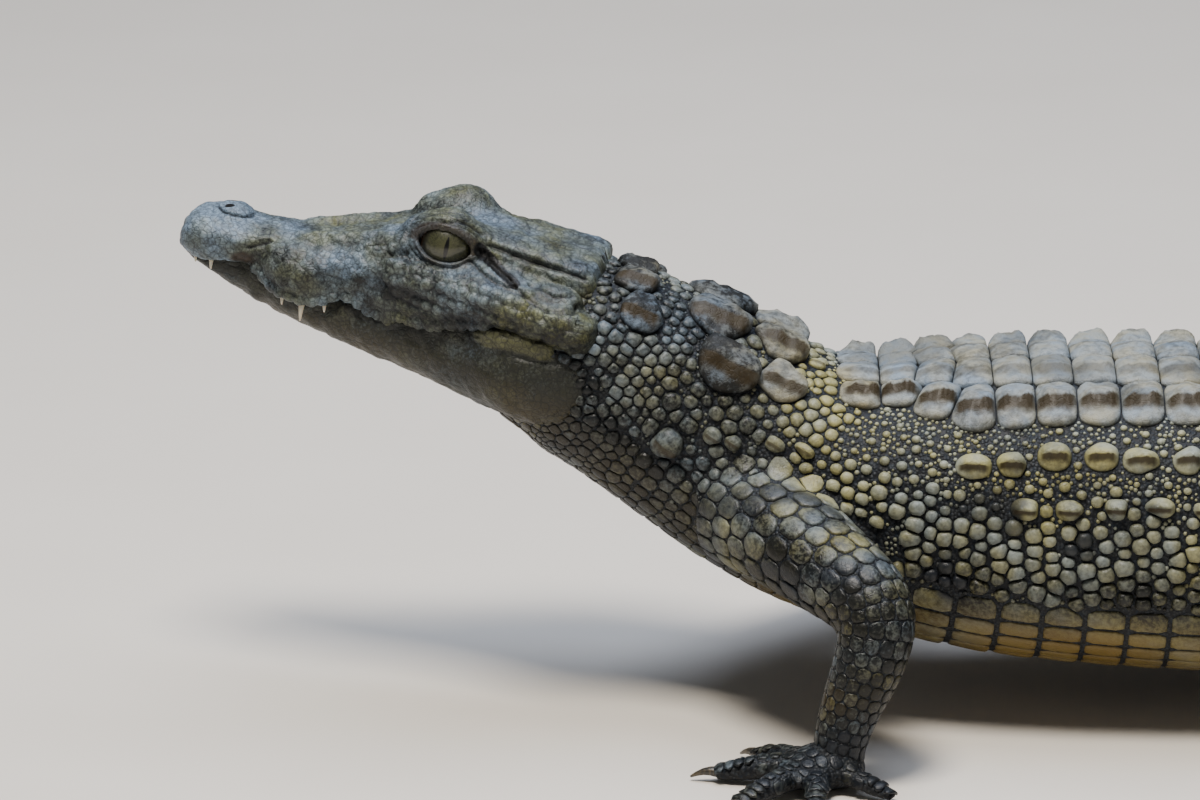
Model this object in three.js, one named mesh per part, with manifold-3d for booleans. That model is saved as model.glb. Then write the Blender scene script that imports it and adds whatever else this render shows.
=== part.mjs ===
// A young Nile crocodile that stands with its chest and head raised, as a still life-size model.
// Millimetres, +Z up. The crocodile faces -X and its left side faces -Y.
// The origin is the middle of its footprint on the floor.
//
// The body is one smooth form parted by thin planes into head, neck, trunk and tail lengths.
// Every length is a tube of superelliptic rings along a curve, joined with booleans.
import * as THREE from "three";
import { mergeVertices } from "three/addons/utils/BufferGeometryUtils.js";
import Module from "manifold-3d";

const wasm = await Module();
wasm.setup();

// ---- driving sizes -------------------------------------------------------------------------

const GAP = 0.4; // clear space between neighbouring pieces
const FACET = 0.15; // faces are merged while the surface moves less than this
const FLOOR_SINK = 0.9; // how far soles and tail are modelled below the floor before they are cut flat
const HEAD_PITCH = 12; // degrees, snout up
const HEAD_YAW = 10; // degrees, snout turned to the animal's right
const SNOUT_TIP = [-119.4, 21, 126.5]; // where the snout tip stands
const EYE_RADIUS = 8.6;
const EYE_CENTRE = [77, 12.2, 24.4]; // from the snout tip: back, out, up
const TAIL_TAPER = 0.92; // 1 would be a straight cone
const TAIL_FLATTENED = 0.22; // how much narrower than its taper the tail is at half its length
const TAIL_ON_FLOOR = 3; // the first point of the tail's path where it lies on the floor

// Sections along a curve: [x, y, z, half width, height up, depth down, squareness].
// Squareness 1 is an ellipse, and smaller is boxier.
const TORSO = [
  [-17, 3, 106, 26, 21, 27, 0.9],
  [-3, 2, 101, 28.5, 27, 31, 0.9],
  [11, 1, 92, 29.5, 30.5, 30.5, 0.88],
  [28, 0, 80.5, 31.5, 34, 31, 0.86],
  [46, 0, 70, 36, 35, 33, 0.84],
  [66, 0, 62.5, 41, 37, 35.5, 0.82],
  [90, 0, 57.5, 46, 43.5, 36.5, 0.8],
  [115, 0, 55, 49.5, 47, 39, 0.8],
  [145, 0, 54, 52, 48, 41, 0.8],
  [175, 0, 53.5, 53, 48, 42, 0.8],
  [205, 0, 53, 50, 47, 41.5, 0.8],
  [232, 0, 52.5, 43, 45, 38, 0.82],
  [256, 0, 51, 35.5, 41.5, 33, 0.86],
];
const TAIL_PATH = [
  [256, 0, 51],
  [282, 1, 46],
  [322, 6, 37],
  [372, 17, 27],
  [432, 35, 21.6],
  [500, 57, 17.2],
  [566, 67, 12.8],
  [626, 60, 8.6],
  [668, 43, 5.2],
  [694, 24, 2.6],
];
const TAIL_ROOT = { width: 35.5, up: 41.5, down: 33 };
const TAIL_END = { width: 1.4, up: 2.6, down: 2.6 };

// Sections of the head, from the snout tip: [back, half width, top, bottom, squareness].
const MUZZLE = [
  [0, 3.2, 7, 3, 1],
  [2.5, 8.6, 10.8, 1.4, 0.95],
  [9, 12.6, 13.2, 0.4, 0.9],
  [16, 12.8, 13.6, 1.4, 0.9],
  [23, 10.8, 13.2, 3.4, 0.9],
  [38, 16.4, 15, -2.8, 0.86],
  [52, 17.4, 19.6, 0, 0.86],
  [64, 20.2, 24.2, -1, 0.9],
  [78, 24.4, 26, 1.2, 0.95],
  [93, 28.6, 25.6, 7, 1],
  [108, 31.4, 23.5, 7.6, 1],
  [121, 30, 18, 4, 1],
];
const JAW = [
  [4, 5.5, 2.5, -1.2, 1],
  [9, 9.2, 3, -3.4, 0.95],
  [22, 9.8, 5, -8.8, 0.95],
  [38, 13.8, 1, -12.4, 0.95],
  [56, 16.8, 3, -15.6, 0.95],
  [76, 21, 5, -18.4, 0.95],
  [96, 26.6, 11, -22, 0.95],
  [111, 30.6, 12, -23.5, 0.95],
  [124, 29, 8, -18, 0.95],
];
// The flat roof of the skull behind the eyes.
const SKULL_ROOF = [
  [84, 12.5, 29.6, 16, 0.5],
  [92, 15.8, 30, 16, 0.45],
  [106, 17.6, 29.4, 14, 0.42],
  [119, 18.6, 28.6, 12, 0.42],
];
// Rounded swellings of the head: [back, out, up, half length, half width, half height].
const BROW = [77, 11, 23.5, 15.5, 8.6, 11];
const NOSTRILS = [14.2, 0, 12.8, 6.6, 7, 3.8];
const TEETH = [
  // [back, out, height of the root, height of the point]
  [8, 10, 2, -2.6],
  [13, 12, 2.4, -3],
  [18, 11.6, 3.6, -1.4],
  [34.5, 14.4, -0.6, -5],
  [41, 16, -0.6, -8],
  [47, 16.4, 0.6, -3.6],
];

// Legs, shoulder or hip to wrist or ankle: [x, y, z, half width, up, down, squareness].
const FORE_LEFT = {
  upper: [
    [40, -24, 63, 17, 18, 18, 0.95],
    [52, -42, 60, 14.5, 16.5, 16, 0.95],
    [63, -58, 56, 13, 14.5, 13.5, 0.95],
    [72, -69, 51.5, 12, 13, 12, 0.95],
  ],
  lower: [
    [75.5, -74.5, 45, 11, 12, 10.5, 0.95],
    [73.5, -77, 34, 10, 10.6, 10, 0.95],
    [69.5, -78, 23, 8.6, 9, 9, 0.95],
    [66, -79, 12, 8, 8, 8, 0.95],
  ],
  palm: [62, -80.5, 5.6, 12, 10, 6.6],
  toeRoot: [60, -81, 5],
  toes: [
    [43.5, -62, 3.9],
    [31.5, -77, 3.9],
    [37.5, -103, 3.9],
    [59, -107.5, 3.4],
    [81, -95, 3.2],
  ],
  heel: null,
};
const HIND_LEFT = {
  upper: [
    [252, -18, 54, 21, 21, 19, 0.95],
    [250, -38, 53, 18.5, 19.5, 17.5, 0.95],
    [247, -56, 50, 15.5, 17, 15, 0.95],
    [245, -69, 45.5, 13, 14, 13, 0.95],
  ],
  lower: [
    [247, -75, 40.5, 12, 12.5, 12, 0.95],
    [256, -78.5, 32, 11.5, 11.5, 11, 0.95],
    [267, -81, 22, 8.8, 9, 8.6, 0.95],
    [274, -82.5, 12, 8, 8.4, 8, 0.95],
  ],
  palm: [262, -86, 5.6, 15, 10, 6.4],
  toeRoot: [258, -87.5, 5],
  toes: [
    [218.5, -84, 4.4],
    [211, -100, 4.5],
    [218, -117.5, 4.3],
    [234, -128, 3.6],
  ],
  heel: [279, -83.5, 5],
};
const TOOTH_RADIUS = 1.5;
const TOOTH_LEAN = 1.6; // how far a root stands inside its point
const TOOTH_SUNK = 1.5; // how deep a root goes into the gum
const HEEL = [8, 7.5, 6]; // half length, half width, half height
const CLAWED_TOES = 3; // the inner three toes of every foot have claws
const TOE_END = 0.72; // a toe's thickness where its claw grows, as a share of its own
const CLAW_LENGTH = 7.5;
const WRIST_HEIGHT = 12; // where a leg is parted from its foot
const FORE_STAGGER = 31; // how far the right forefoot stands behind the left one
const HIND_STAGGER = -27; // the right hind foot stands ahead of the left one

// ---- rings and tubes -----------------------------------------------------------------------

const UP = new THREE.Vector3(0, 0, 1);

// Catmull-Rom through the rows of a table, at row number t.
function smooth(rows, t) {
  const last = rows.length - 1;
  const i = Math.min(Math.floor(t), last - 1);
  const f = t - i;
  const row = (k) => rows[Math.max(0, Math.min(last, k))];
  return rows[0].map((_, c) => {
    const [a, b, d, e] = [row(i - 1)[c], row(i)[c], row(i + 1)[c], row(i + 2)[c]];
    return b + 0.5 * f * (d - a + f * (2 * a - 5 * b + 4 * d - e + f * (3 * (b - d) + e - a)));
  });
}

function solid(positions, indices) {
  const made = new THREE.BufferGeometry();
  made.setAttribute("position", new THREE.Float32BufferAttribute(positions, 3));
  made.setIndex(indices);
  const merged = mergeVertices(made, 1e-4);
  const vertProperties = merged.attributes.position.array;
  const triVerts = new Uint32Array(merged.index.array);
  const corner = (i) => new THREE.Vector3().fromArray(vertProperties, 3 * triVerts[i]);
  let volume = 0;
  for (let i = 0; i < triVerts.length; i += 3)
    volume += corner(i).dot(corner(i + 1).cross(corner(i + 2)));
  if (volume < 0) triVerts.reverse(); // faces point outwards whichever way the rings were wound
  return new wasm.Manifold(new wasm.Mesh({ numProp: 3, vertProperties, triVerts }));
}

// A closed solid through rings of equal point count, with a flat cap at each end.
function skin(rings) {
  const sides = rings[0].length;
  const positions = rings.flat().flatMap((p) => [p.x, p.y, p.z]);
  const indices = [];
  for (let r = 0; r + 1 < rings.length; r++)
    for (let s = 0; s < sides; s++) {
      const [a, b] = [r * sides + s, r * sides + ((s + 1) % sides)];
      indices.push(a, b, a + sides, b, b + sides, a + sides);
    }
  const end = (rings.length - 1) * sides;
  for (let s = 1; s + 1 < sides; s++) {
    indices.push(0, s + 1, s);
    indices.push(end, end + s, end + s + 1);
  }
  return solid(positions, indices);
}

// One superelliptic ring round a centre, in the plane of across and up.
function ring(centre, across, up, [halfWidth, high, low, squareness], sides) {
  return Array.from({ length: sides }, (_, i) => {
    const angle = (2 * Math.PI * (i + 0.5)) / sides;
    const bend = (v) => Math.sign(v) * Math.abs(v) ** squareness;
    const sideways = bend(Math.sin(angle)) * halfWidth;
    const upward = bend(Math.cos(angle)) * (Math.cos(angle) > 0 ? high : low);
    return centre.clone().addScaledVector(across, sideways).addScaledVector(up, upward);
  });
}

// A tube along a path. Each row is x, y, z and then the ring's sizes. Every ring stands square to
// the path, and lean says which way its own up points.
function tube(rows, steps, sides, { swell = 0, lean = leanUp } = {}) {
  const at = (t) => smooth(rows, Math.max(0, Math.min(rows.length - 1, t)));
  const point = (t) => new THREE.Vector3(...at(t));
  const rings = [];
  for (let i = 0; i <= steps; i++) {
    const t = (i / steps) * (rows.length - 1);
    const [halfWidth, high, low, squareness] = at(t).slice(3);
    const along = point(t + 0.05).sub(point(t - 0.05)).normalize();
    const { across, up } = lean(along);
    const sizes = [halfWidth + swell, high + swell, low + swell, squareness];
    rings.push(ring(point(t), across, up, sizes, sides));
  }
  return skin(rings);
}

// The body's rings stand upright.
function leanUp(along) {
  const across = new THREE.Vector3().crossVectors(UP, along).normalize();
  return { across, up: new THREE.Vector3().crossVectors(along, across) };
}

// A limb's rings lean on the body's length instead, so that the limb can drop straight down.
function leanAlongBody(along) {
  const up = new THREE.Vector3(1, 0, 0).addScaledVector(along, -along.x).normalize();
  return { across: new THREE.Vector3().crossVectors(up, along), up };
}

// The head's own tubes run straight back from the snout tip. A swell makes them larger all round.
function headTube(rows, steps, sides, swell = 0) {
  const rings = [];
  for (let i = 0; i <= steps; i++) {
    const [back, w, top, bottom, squareness] = smooth(rows, (i / steps) * (rows.length - 1));
    const half = (top - bottom) / 2 + swell;
    const centre = new THREE.Vector3(back + swell * ((2 * i) / steps - 1), 0, (top + bottom) / 2);
    rings.push(ring(centre, new THREE.Vector3(0, 1, 0), UP, [w + swell, half, half, squareness], sides));
  }
  return skin(rings);
}

function ellipsoid([x, y, z, a, b, c], across = 16, down = 10) {
  const ball = new THREE.SphereGeometry(1, across, down).scale(a, b, c).translate(x, y, z);
  ball.deleteAttribute("normal");
  ball.deleteAttribute("uv");
  return solid(ball.attributes.position.array, Array.from(ball.index.array));
}

function cone(from, to, radius, sides = 6) {
  const along = new THREE.Vector3().subVectors(to, from).normalize();
  const across = new THREE.Vector3().crossVectors(UP, along);
  if (across.length() < 0.1) across.set(1, 0, 0);
  across.normalize();
  const up = new THREE.Vector3().crossVectors(along, across);
  return skin([
    ring(from, across, up, [radius, radius, radius, 1], sides),
    ring(to, across, up, [radius * 0.12, radius * 0.12, radius * 0.12, 1], sides),
  ]);
}

const join = (pieces) => pieces.reduce((a, b) => a.add(b));
const largest = (piece) => piece.decompose().sort((a, b) => b.volume() - a.volume())[0];

// ---- head ----------------------------------------------------------------------------------

const headPlace = new THREE.Matrix4()
  .makeTranslation(...SNOUT_TIP)
  .multiply(new THREE.Matrix4().makeRotationZ(THREE.MathUtils.degToRad(-HEAD_YAW)))
  .multiply(new THREE.Matrix4().makeRotationY(THREE.MathUtils.degToRad(HEAD_PITCH)));
const placed = (piece) => piece.transform(headPlace.elements);

const bothSides = (row) => [row, row.map((v, i) => (i === 1 ? -v : v))];

const headForm = (swell) =>
  join([
    headTube(MUZZLE, 20, 20, swell),
    headTube(SKULL_ROOF, 4, 14, swell),
    ellipsoid(NOSTRILS, 10, 6),
    ...bothSides(BROW).map((row) => ellipsoid(row, 12, 8)),
  ]);
const jawForm = (swell) => headTube(JAW, 14, 16, swell);
const upperHead = headForm(0);
const eyeHole = (extra) => {
  const r = EYE_RADIUS + extra;
  return bothSides([...EYE_CENTRE, r, r, r]).map((row) => ellipsoid(row, 12, 6));
};
const teeth = TEETH.flatMap(([back, out, root, point]) =>
  [-1, 1].map((side) => {
    const gum = new THREE.Vector3(back, side * (out - TOOTH_LEAN), root + TOOTH_SUNK);
    return cone(gum, new THREE.Vector3(back, side * out, point), TOOTH_RADIUS, 5);
  }),
);
const upperWithTeeth = join([upperHead.subtract(join(eyeHole(2 * GAP))), ...teeth]);
const jawClear = upperHead.add(upperHead.translate([0, 0, -GAP])).add(upperWithTeeth);
const lowerJaw = largest(jawForm(0).subtract(jawClear));

// ---- torso and tail ------------------------------------------------------------------------

function tailRows() {
  const last = TAIL_PATH.length - 1;
  return TAIL_PATH.map(([x, y, z], i) => {
    const left = (1 - i / last) ** TAIL_TAPER;
    const size = (key) => TAIL_END[key] + (TAIL_ROOT[key] - TAIL_END[key]) * left;
    const flank = 1 - TAIL_FLATTENED * Math.sin(Math.PI * (i / last));
    const down = i >= TAIL_ON_FLOOR ? z + FLOOR_SINK : size("down");
    return [x, y, z, size("width") * flank, size("up"), down, 0.88];
  });
}

const tail = tailRows();
const torso = tube(TORSO, 20, 22);
const tailSolid = tube(tail, 27, 16);

// The tail's crest: two rows of upright scutes that meet halfway and go on as one.
function crest() {
  const scutes = [];
  const doubleRows = 16;
  const singleRows = 17;
  const total = doubleRows + singleRows;
  for (let i = 0; i < total; i++) {
    const t = ((i + 0.6) / (total + 0.6)) * (tail.length - 1);
    const [x, y, z, w, high] = smooth(tail, t);
    const next = smooth(tail, Math.min(tail.length - 1, t + 0.2));
    const along = new THREE.Vector3(next[0] - x, next[1] - y, next[2] - z).normalize();
    const across = new THREE.Vector3().crossVectors(UP, along).normalize();
    const up = new THREE.Vector3().crossVectors(along, across);
    const share = i / (total - 1);
    const height = 2.5 + 6 * Math.sin(Math.PI * Math.min(1, 0.12 + share * 0.95)) ** 0.8;
    const length = 12.5 * (1 - 0.42 * share);
    const spread = i < doubleRows ? w * 0.5 * (1 - i / doubleRows) ** 0.7 : 0;
    for (const side of spread > 1.5 ? [-1, 1] : [0]) {
      const root = new THREE.Vector3(x, y, z)
        .addScaledVector(across, side * spread)
        .addScaledVector(up, high - 3);
      const tip = root.clone().addScaledVector(along, length * 0.9).addScaledVector(up, height + 3);
      const shape = [1.6, length / 2, length / 2, 1];
      const point = [0.35, 1.2, 1.2, 1];
      scutes.push(skin([ring(root, across, along, shape, 4), ring(tip, across, along, point, 4)]));
    }
  }
  return scutes;
}

// Large plates on the nape: [x, out, up, half length, half width, half height].
const NUCHAL = [
  [32, 8.5, 110.5, 9.5, 7.5, 4.5],
  [35.5, 20.5, 101.5, 9.5, 6.5, 5.5],
  [49, 8, 101.5, 7.5, 7.5, 4.4],
  [10.7, 7, 125, 6, 5.5, 4],
  [11.3, 19, 118.5, 6, 5, 4],
].flatMap(bothSides);

const body = join([
  torso,
  tailSolid,
  ...crest(),
  ...NUCHAL.map((row) => ellipsoid(row, 8, 4)),
]);

// A part of the body between two planes. Each plane is [point on it, normal], and what lies behind it goes.
const beyond = (piece, point, normal) => {
  const n = new THREE.Vector3(...normal).normalize();
  return piece.trimByPlane(n.toArray(), n.dot(new THREE.Vector3(...point)) + GAP / 2);
};
const between = (piece, from, to) => {
  const back = to ? to.map((v, i) => (i === 1 ? v.map((c) => -c) : v)) : null;
  const cut = from ? beyond(piece, ...from) : piece;
  return back ? beyond(cut, ...back) : cut;
};
const HEAD_CUT = [[-6, 4, 100], [0.93, -0.1, -0.36]];
const NECK_CUT = [[62, 0, 64], [1, 0, -0.24]];
const TAIL_CUT = [[268, 0, 48], [1, 0, -0.22]];
const tailCut = (x, y, lean) => [[x, y, 20], [1, lean, 0]];
const TAIL_CUTS = [TAIL_CUT, tailCut(372, 17, 0.3), tailCut(486, 52, 0.28), tailCut(590, 66, -0.06)];
const TAIL_NAMES = ["tail_base", "tail_middle", "tail_end", "tail_tip"];

// ---- legs ----------------------------------------------------------------------------------

const moved = (point, dx) => [point[0] + dx, ...point.slice(1)];
const mirrored = (point) => point.map((v, i) => (i === 1 ? -v : v));

// The other side's leg, with its foot set ahead or behind. The shift grows from the shoulder to the wrist.
function otherLeg(leg, stagger) {
  const shift = (rows, from, to) =>
    rows.map((row, i) => moved(mirrored(row), stagger * (from + ((to - from) * i) / (rows.length - 1))));
  return {
    upper: shift(leg.upper, 0, 0.5),
    lower: shift(leg.lower, 0.55, 1),
    palm: moved(mirrored(leg.palm), stagger),
    toeRoot: moved(mirrored(leg.toeRoot), stagger),
    toes: leg.toes.map((toe) => moved(mirrored(toe), stagger)),
    heel: leg.heel && moved(mirrored(leg.heel), stagger),
  };
}

const flatten = (piece) => piece.trimByPlane([0, 0, 1], 0);

// A toe arches from the foot, dips to the floor, and gets thinner towards its end.
function toe(root, [x, y, r]) {
  const start = new THREE.Vector3(...root);
  const end = new THREE.Vector3(x, y, r * TOE_END - FLOOR_SINK * 0.3);
  const arch = (share, lift, size) => {
    const p = start.clone().lerp(end, share);
    return [p.x, p.y, p.z + lift, size, size * 0.9, size * 0.95, 1];
  };
  const rows = [
    arch(0, 0, r * 1.3),
    arch(0.4, 1.4, r * 1.12),
    arch(0.75, 0.8, r * 0.98),
    arch(1, -0.2, r * TOE_END),
  ];
  return tube(rows, 4, 6);
}

function claw(root, [x, y, r]) {
  const end = new THREE.Vector3(x, y, r * TOE_END);
  const ahead = end.clone().sub(new THREE.Vector3(...root)).setZ(0).normalize();
  const at = (along, z, size) => {
    const p = end.clone().addScaledVector(ahead, along);
    return [p.x, p.y, z, size, size * 1.15, size, 1];
  };
  const base = r * TOE_END;
  const rows = [
    at(2.5 * GAP, base, 1.7),
    at(CLAW_LENGTH * 0.5, base * 0.95, 1.3),
    at(CLAW_LENGTH, 0.6, 0.3),
  ];
  return tube(rows, 2, 5);
}

const swell = GAP;
const trunkClear = tube(TORSO, 20, 22, { swell }).add(tube(tail.slice(0, 4), 6, 16, { swell }));

function legPieces(leg, name) {
  const whole = tube([...leg.upper, ...leg.lower], 10, 10, { lean: leanAlongBody });
  const above = whole.trimByPlane([0, 0, 1], WRIST_HEIGHT + GAP / 2).subtract(trunkClear);

  // The elbow's or knee's cut stands square to the bend.
  const [before, elbow] = leg.upper.slice(-2).map((row) => new THREE.Vector3(...row));
  const [wristward, after] = leg.lower.slice(0, 2).map((row) => new THREE.Vector3(...row));
  const along = after.sub(before).normalize();
  const offset = along.dot(elbow.lerp(wristward, 0.5));
  const back = along.clone().negate();

  const footParts = [ellipsoid(leg.palm, 12, 6), ...leg.toes.map((t) => toe(leg.toeRoot, t))];
  if (leg.heel) footParts.push(ellipsoid([...leg.heel, ...HEEL], 10, 6));
  const foot = join([...footParts, whole]).trimByPlane([0, 0, -1], GAP / 2 - WRIST_HEIGHT);
  const pieces = {
    [`${name}_upper`]: above.trimByPlane(back.toArray(), GAP / 2 - offset),
    [`${name}_lower`]: above.trimByPlane(along.toArray(), GAP / 2 + offset),
    [`${name}_foot`]: flatten(foot),
  };
  leg.toes.slice(0, CLAWED_TOES).forEach((t, i) => {
    pieces[`${name}_claw_${i + 1}`] = claw(leg.toeRoot, t);
  });
  return pieces;
}

const legs = {
  ...legPieces(FORE_LEFT, "foreleg_left"),
  ...legPieces(otherLeg(FORE_LEFT, FORE_STAGGER), "foreleg_right"),
  ...legPieces(HIND_LEFT, "hindleg_left"),
  ...legPieces(otherLeg(HIND_LEFT, HIND_STAGGER), "hindleg_right"),
};

// ---- the whole animal ----------------------------------------------------------------------

const neckSolid = body.subtract(placed(headForm(GAP).add(jawForm(GAP))));

const pieces = {
  head: placed(upperWithTeeth),
  lower_jaw: placed(lowerJaw),
  neck: between(neckSolid, HEAD_CUT, NECK_CUT),
  trunk: between(body, NECK_CUT, TAIL_CUT),
  ...legs,
};
TAIL_NAMES.forEach((name, i) => {
  pieces[name] = flatten(between(body, TAIL_CUTS[i], TAIL_CUTS[i + 1]));
});
eyeHole(0).forEach((eye, i) => {
  pieces[i ? "eye_left" : "eye_right"] = placed(eye);
});

const COLOURS = {
  skin: new THREE.MeshStandardMaterial({ color: 0x6f6a55, roughness: 0.6, metalness: 0 }),
  claw: new THREE.MeshStandardMaterial({ color: 0x2b2723, roughness: 0.4, metalness: 0 }),
  eye: new THREE.MeshStandardMaterial({ color: 0x5c5f3a, roughness: 0.1, metalness: 0 }),
};

function mesh(name, piece) {
  const { numProp, vertProperties, triVerts } = largest(piece.asOriginal().simplify(FACET)).getMesh();
  const positions = [];
  for (let i = 0; i < vertProperties.length; i += numProp)
    positions.push(vertProperties[i], vertProperties[i + 1], vertProperties[i + 2]);
  const geometry = new THREE.BufferGeometry();
  geometry.setAttribute("position", new THREE.Float32BufferAttribute(positions, 3));
  geometry.setIndex(Array.from(triVerts));
  geometry.computeVertexNormals();
  const kind = name.startsWith("eye") ? "eye" : name.includes("claw") ? "claw" : "skin";
  const made = new THREE.Mesh(geometry, COLOURS[kind]);
  made.name = name;
  return made;
}

const crocodile = new THREE.Group();
crocodile.name = "crocodile";
for (const [name, piece] of Object.entries(pieces)) crocodile.add(mesh(name, piece));
const box = new THREE.Box3().setFromObject(crocodile);
const middle = box.getCenter(new THREE.Vector3());
crocodile.position.set(-middle.x, -middle.y, -box.min.z);

export default crocodile;
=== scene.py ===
# %% [markdown]
# # A young Nile crocodile
# A museum model of a live animal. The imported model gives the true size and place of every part.
# This script gives it a skin, scales, eyes, teeth and claws. It is written in millimetres, in the
# animal's own frame: the snout points to -X, the left side faces -Y and the floor is Z = 0.

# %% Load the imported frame
import math
import bmesh
import bpy
import numpy as np
from mathutils.bvhtree import BVHTree
from mathutils.kdtree import KDTree
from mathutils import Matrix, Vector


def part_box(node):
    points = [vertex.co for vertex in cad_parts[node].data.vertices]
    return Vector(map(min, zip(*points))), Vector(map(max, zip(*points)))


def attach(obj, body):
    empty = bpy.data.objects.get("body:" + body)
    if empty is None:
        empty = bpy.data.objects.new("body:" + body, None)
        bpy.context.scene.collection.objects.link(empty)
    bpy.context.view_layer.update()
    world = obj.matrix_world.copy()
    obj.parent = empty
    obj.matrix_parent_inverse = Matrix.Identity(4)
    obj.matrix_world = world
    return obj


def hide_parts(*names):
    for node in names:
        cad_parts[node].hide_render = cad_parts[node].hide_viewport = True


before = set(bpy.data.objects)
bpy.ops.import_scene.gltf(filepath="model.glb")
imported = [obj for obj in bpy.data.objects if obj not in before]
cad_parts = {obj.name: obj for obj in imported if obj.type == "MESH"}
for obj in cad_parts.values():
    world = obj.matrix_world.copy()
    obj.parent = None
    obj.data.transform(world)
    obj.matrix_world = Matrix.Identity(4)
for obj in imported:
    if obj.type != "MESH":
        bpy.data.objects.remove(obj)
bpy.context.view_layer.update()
print("the packed model has", len(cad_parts), "nodes")

# %% [markdown]
# ## One frame
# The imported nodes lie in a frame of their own, in metres. The tables below are in millimetres, with
# a simple origin. The two differ by a shift only. It is measured from one landmark, the left
# eyeball, so that it is never written down twice.

# %% Head pose and shift
HEAD_PITCH = math.radians(12)
HEAD_YAW = math.radians(10)
SNOUT_TIP = np.array([-119.4, 21.0, 126.5])
EYE_RADIUS = 8.6
EYE_CENTRE = np.array([77.0, 12.2, 24.4])  # from the snout tip: back, out, up


def turn(axis, angle):
    """A rotation matrix about X, Y or Z."""
    c, s = math.cos(angle), math.sin(angle)
    i, j = {"X": (1, 2), "Y": (2, 0), "Z": (0, 1)}[axis]
    m = np.eye(3)
    m[i, i] = m[j, j] = c
    m[i, j], m[j, i] = -s, s
    return m


HEAD_TURN = turn("Z", -HEAD_YAW) @ turn("Y", HEAD_PITCH)


def head_to_body(points):
    """From the head's own frame (back, out to the right, up) to the animal's."""
    return np.asarray(points) @ HEAD_TURN.T + SNOUT_TIP


left_eye = head_to_body(EYE_CENTRE * (1, -1, 1))
eye_low, eye_high = (np.array(corner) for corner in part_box("eye_left"))
ROW_SHIFT = np.round((eye_low + eye_high) * 500.0 - left_eye, 1)


def millimetres_to_row(points):
    """From this script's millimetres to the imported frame's metres."""
    return (np.asarray(points, float) + ROW_SHIFT) / 1000.0


print("the packed frame's origin is shifted by", ROW_SHIFT, "mm")

# %% [markdown]
# ## The camera
# A long lens from far away draws an animal without making its nose large. The camera stands a little
# above it, square to the trunk, and is made first, because every later step is judged through it.

# %% Camera
ELEVATION = math.radians(17.5)
DISTANCE = 2354.0
AIM = (0.0, 0.0, 86.5)  # the point in the middle of the view

camera = bpy.data.objects.new("camera", bpy.data.cameras.new("camera"))
bpy.context.scene.collection.objects.link(camera)
camera.data.lens = 250.0
camera.data.sensor_width = 36.0
camera.data.clip_end = 20.0
back = np.array([0.0, -math.cos(ELEVATION), math.sin(ELEVATION)])
camera.location = millimetres_to_row(np.array(AIM) + DISTANCE * back)
camera.rotation_euler = (math.pi / 2 - ELEVATION, 0.0, 0.0)
bpy.context.scene.camera = camera
print("camera at", camera.location[:])

# %% [markdown]
# ## Sizes of the body
# A body is measured as a taxidermist does it, in sections from neck to tail and down each leg. The
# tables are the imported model's, so the skin lies just inside it, but two things differ: the back is
# up to 3.6 mm lower, for the armour plates that stand on it, and the heels are slimmer. Between the
# rows a smooth curve runs. A squareness of 1 is an ellipse, and smaller is boxier.

# %% Trunk and tail
# x, y, z, half width, height up, depth down, squareness
TORSO = [
    (-52, 8, 113, 9, 8, 9, 0.95),
    (-38, 6, 110, 19, 13, 19, 0.92),
    (-17, 3, 106, 28.5, 21, 27, 0.9),
    (-3, 2, 101, 30.2, 27, 31, 0.9),
    (11, 1, 92, 30.2, 30.5, 30.5, 0.88),
    (28, 0, 80.5, 31.5, 34, 31, 0.86),
    (46, 0, 70, 36, 34, 33, 0.84),
    (66, 0, 62.5, 41, 34.6, 35.5, 0.82),
    (90, 0, 57.5, 46, 40.2, 36.5, 0.8),
    (115, 0, 55, 49.5, 43.4, 39, 0.8),
    (145, 0, 54, 52, 44.4, 41, 0.8),
    (175, 0, 53.5, 53, 44.4, 42, 0.8),
    (205, 0, 53, 50, 43.6, 41.5, 0.8),
    (232, 0, 52.5, 43, 42.4, 38, 0.82),
    (256, 0, 51, 35.5, 40.2, 33, 0.86),
]
TAIL_PATH = [
    (282, 1, 46),
    (322, 6, 37),
    (372, 17, 27),
    (432, 35, 21.6),
    (500, 57, 17.2),
    (566, 67, 12.8),
    (626, 60, 8.6),
    (668, 43, 5.2),
    (694, 24, 2.6),
]
TAIL_ROOT = (35.5, 41.5, 33)
TAIL_END = (1.4, 2.6, 2.6)
TAIL_TAPER = 0.92
TAIL_FLATTENED = 0.22
TAIL_ON_FLOOR = 3
FLOOR_SINK = 0.9
COAT = 0.7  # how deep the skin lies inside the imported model, which the scales fill


def tail_rows():
    """The tail's sections: they taper, and grow narrow from side to side at half length."""
    last = len(TAIL_PATH)
    rows = []
    for i, (x, y, z) in enumerate(TAIL_PATH, start=1):
        left = (1 - i / last) ** TAIL_TAPER
        width, up, down = (end + (root - end) * left for root, end in zip(TAIL_ROOT, TAIL_END))
        width *= 1 - TAIL_FLATTENED * math.sin(math.pi * i / last)
        rows.append((x, y, z, width, up, z + FLOOR_SINK if i >= TAIL_ON_FLOOR else down, 0.88))
    return rows


def smooth(rows, t):
    """A Catmull-Rom curve through the rows of a table, at row numbers t."""
    rows = np.asarray(rows, float)
    last = len(rows) - 1
    t = np.clip(np.asarray(t, float), 0, last)
    i = np.minimum(t.astype(int), last - 1)
    f = (t - i)[..., None]
    a, b, c, d = (rows[np.clip(i + k, 0, last)] for k in (-1, 0, 1, 2))
    return b + 0.5 * f * (c - a + f * (2 * a - 5 * b + 4 * c - d + f * (3 * (b - c) + d - a)))


SPINE = TORSO + tail_rows()
TORSO_LAST = len(TORSO) - 1
print("the spine has", len(SPINE), "sections")

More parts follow.
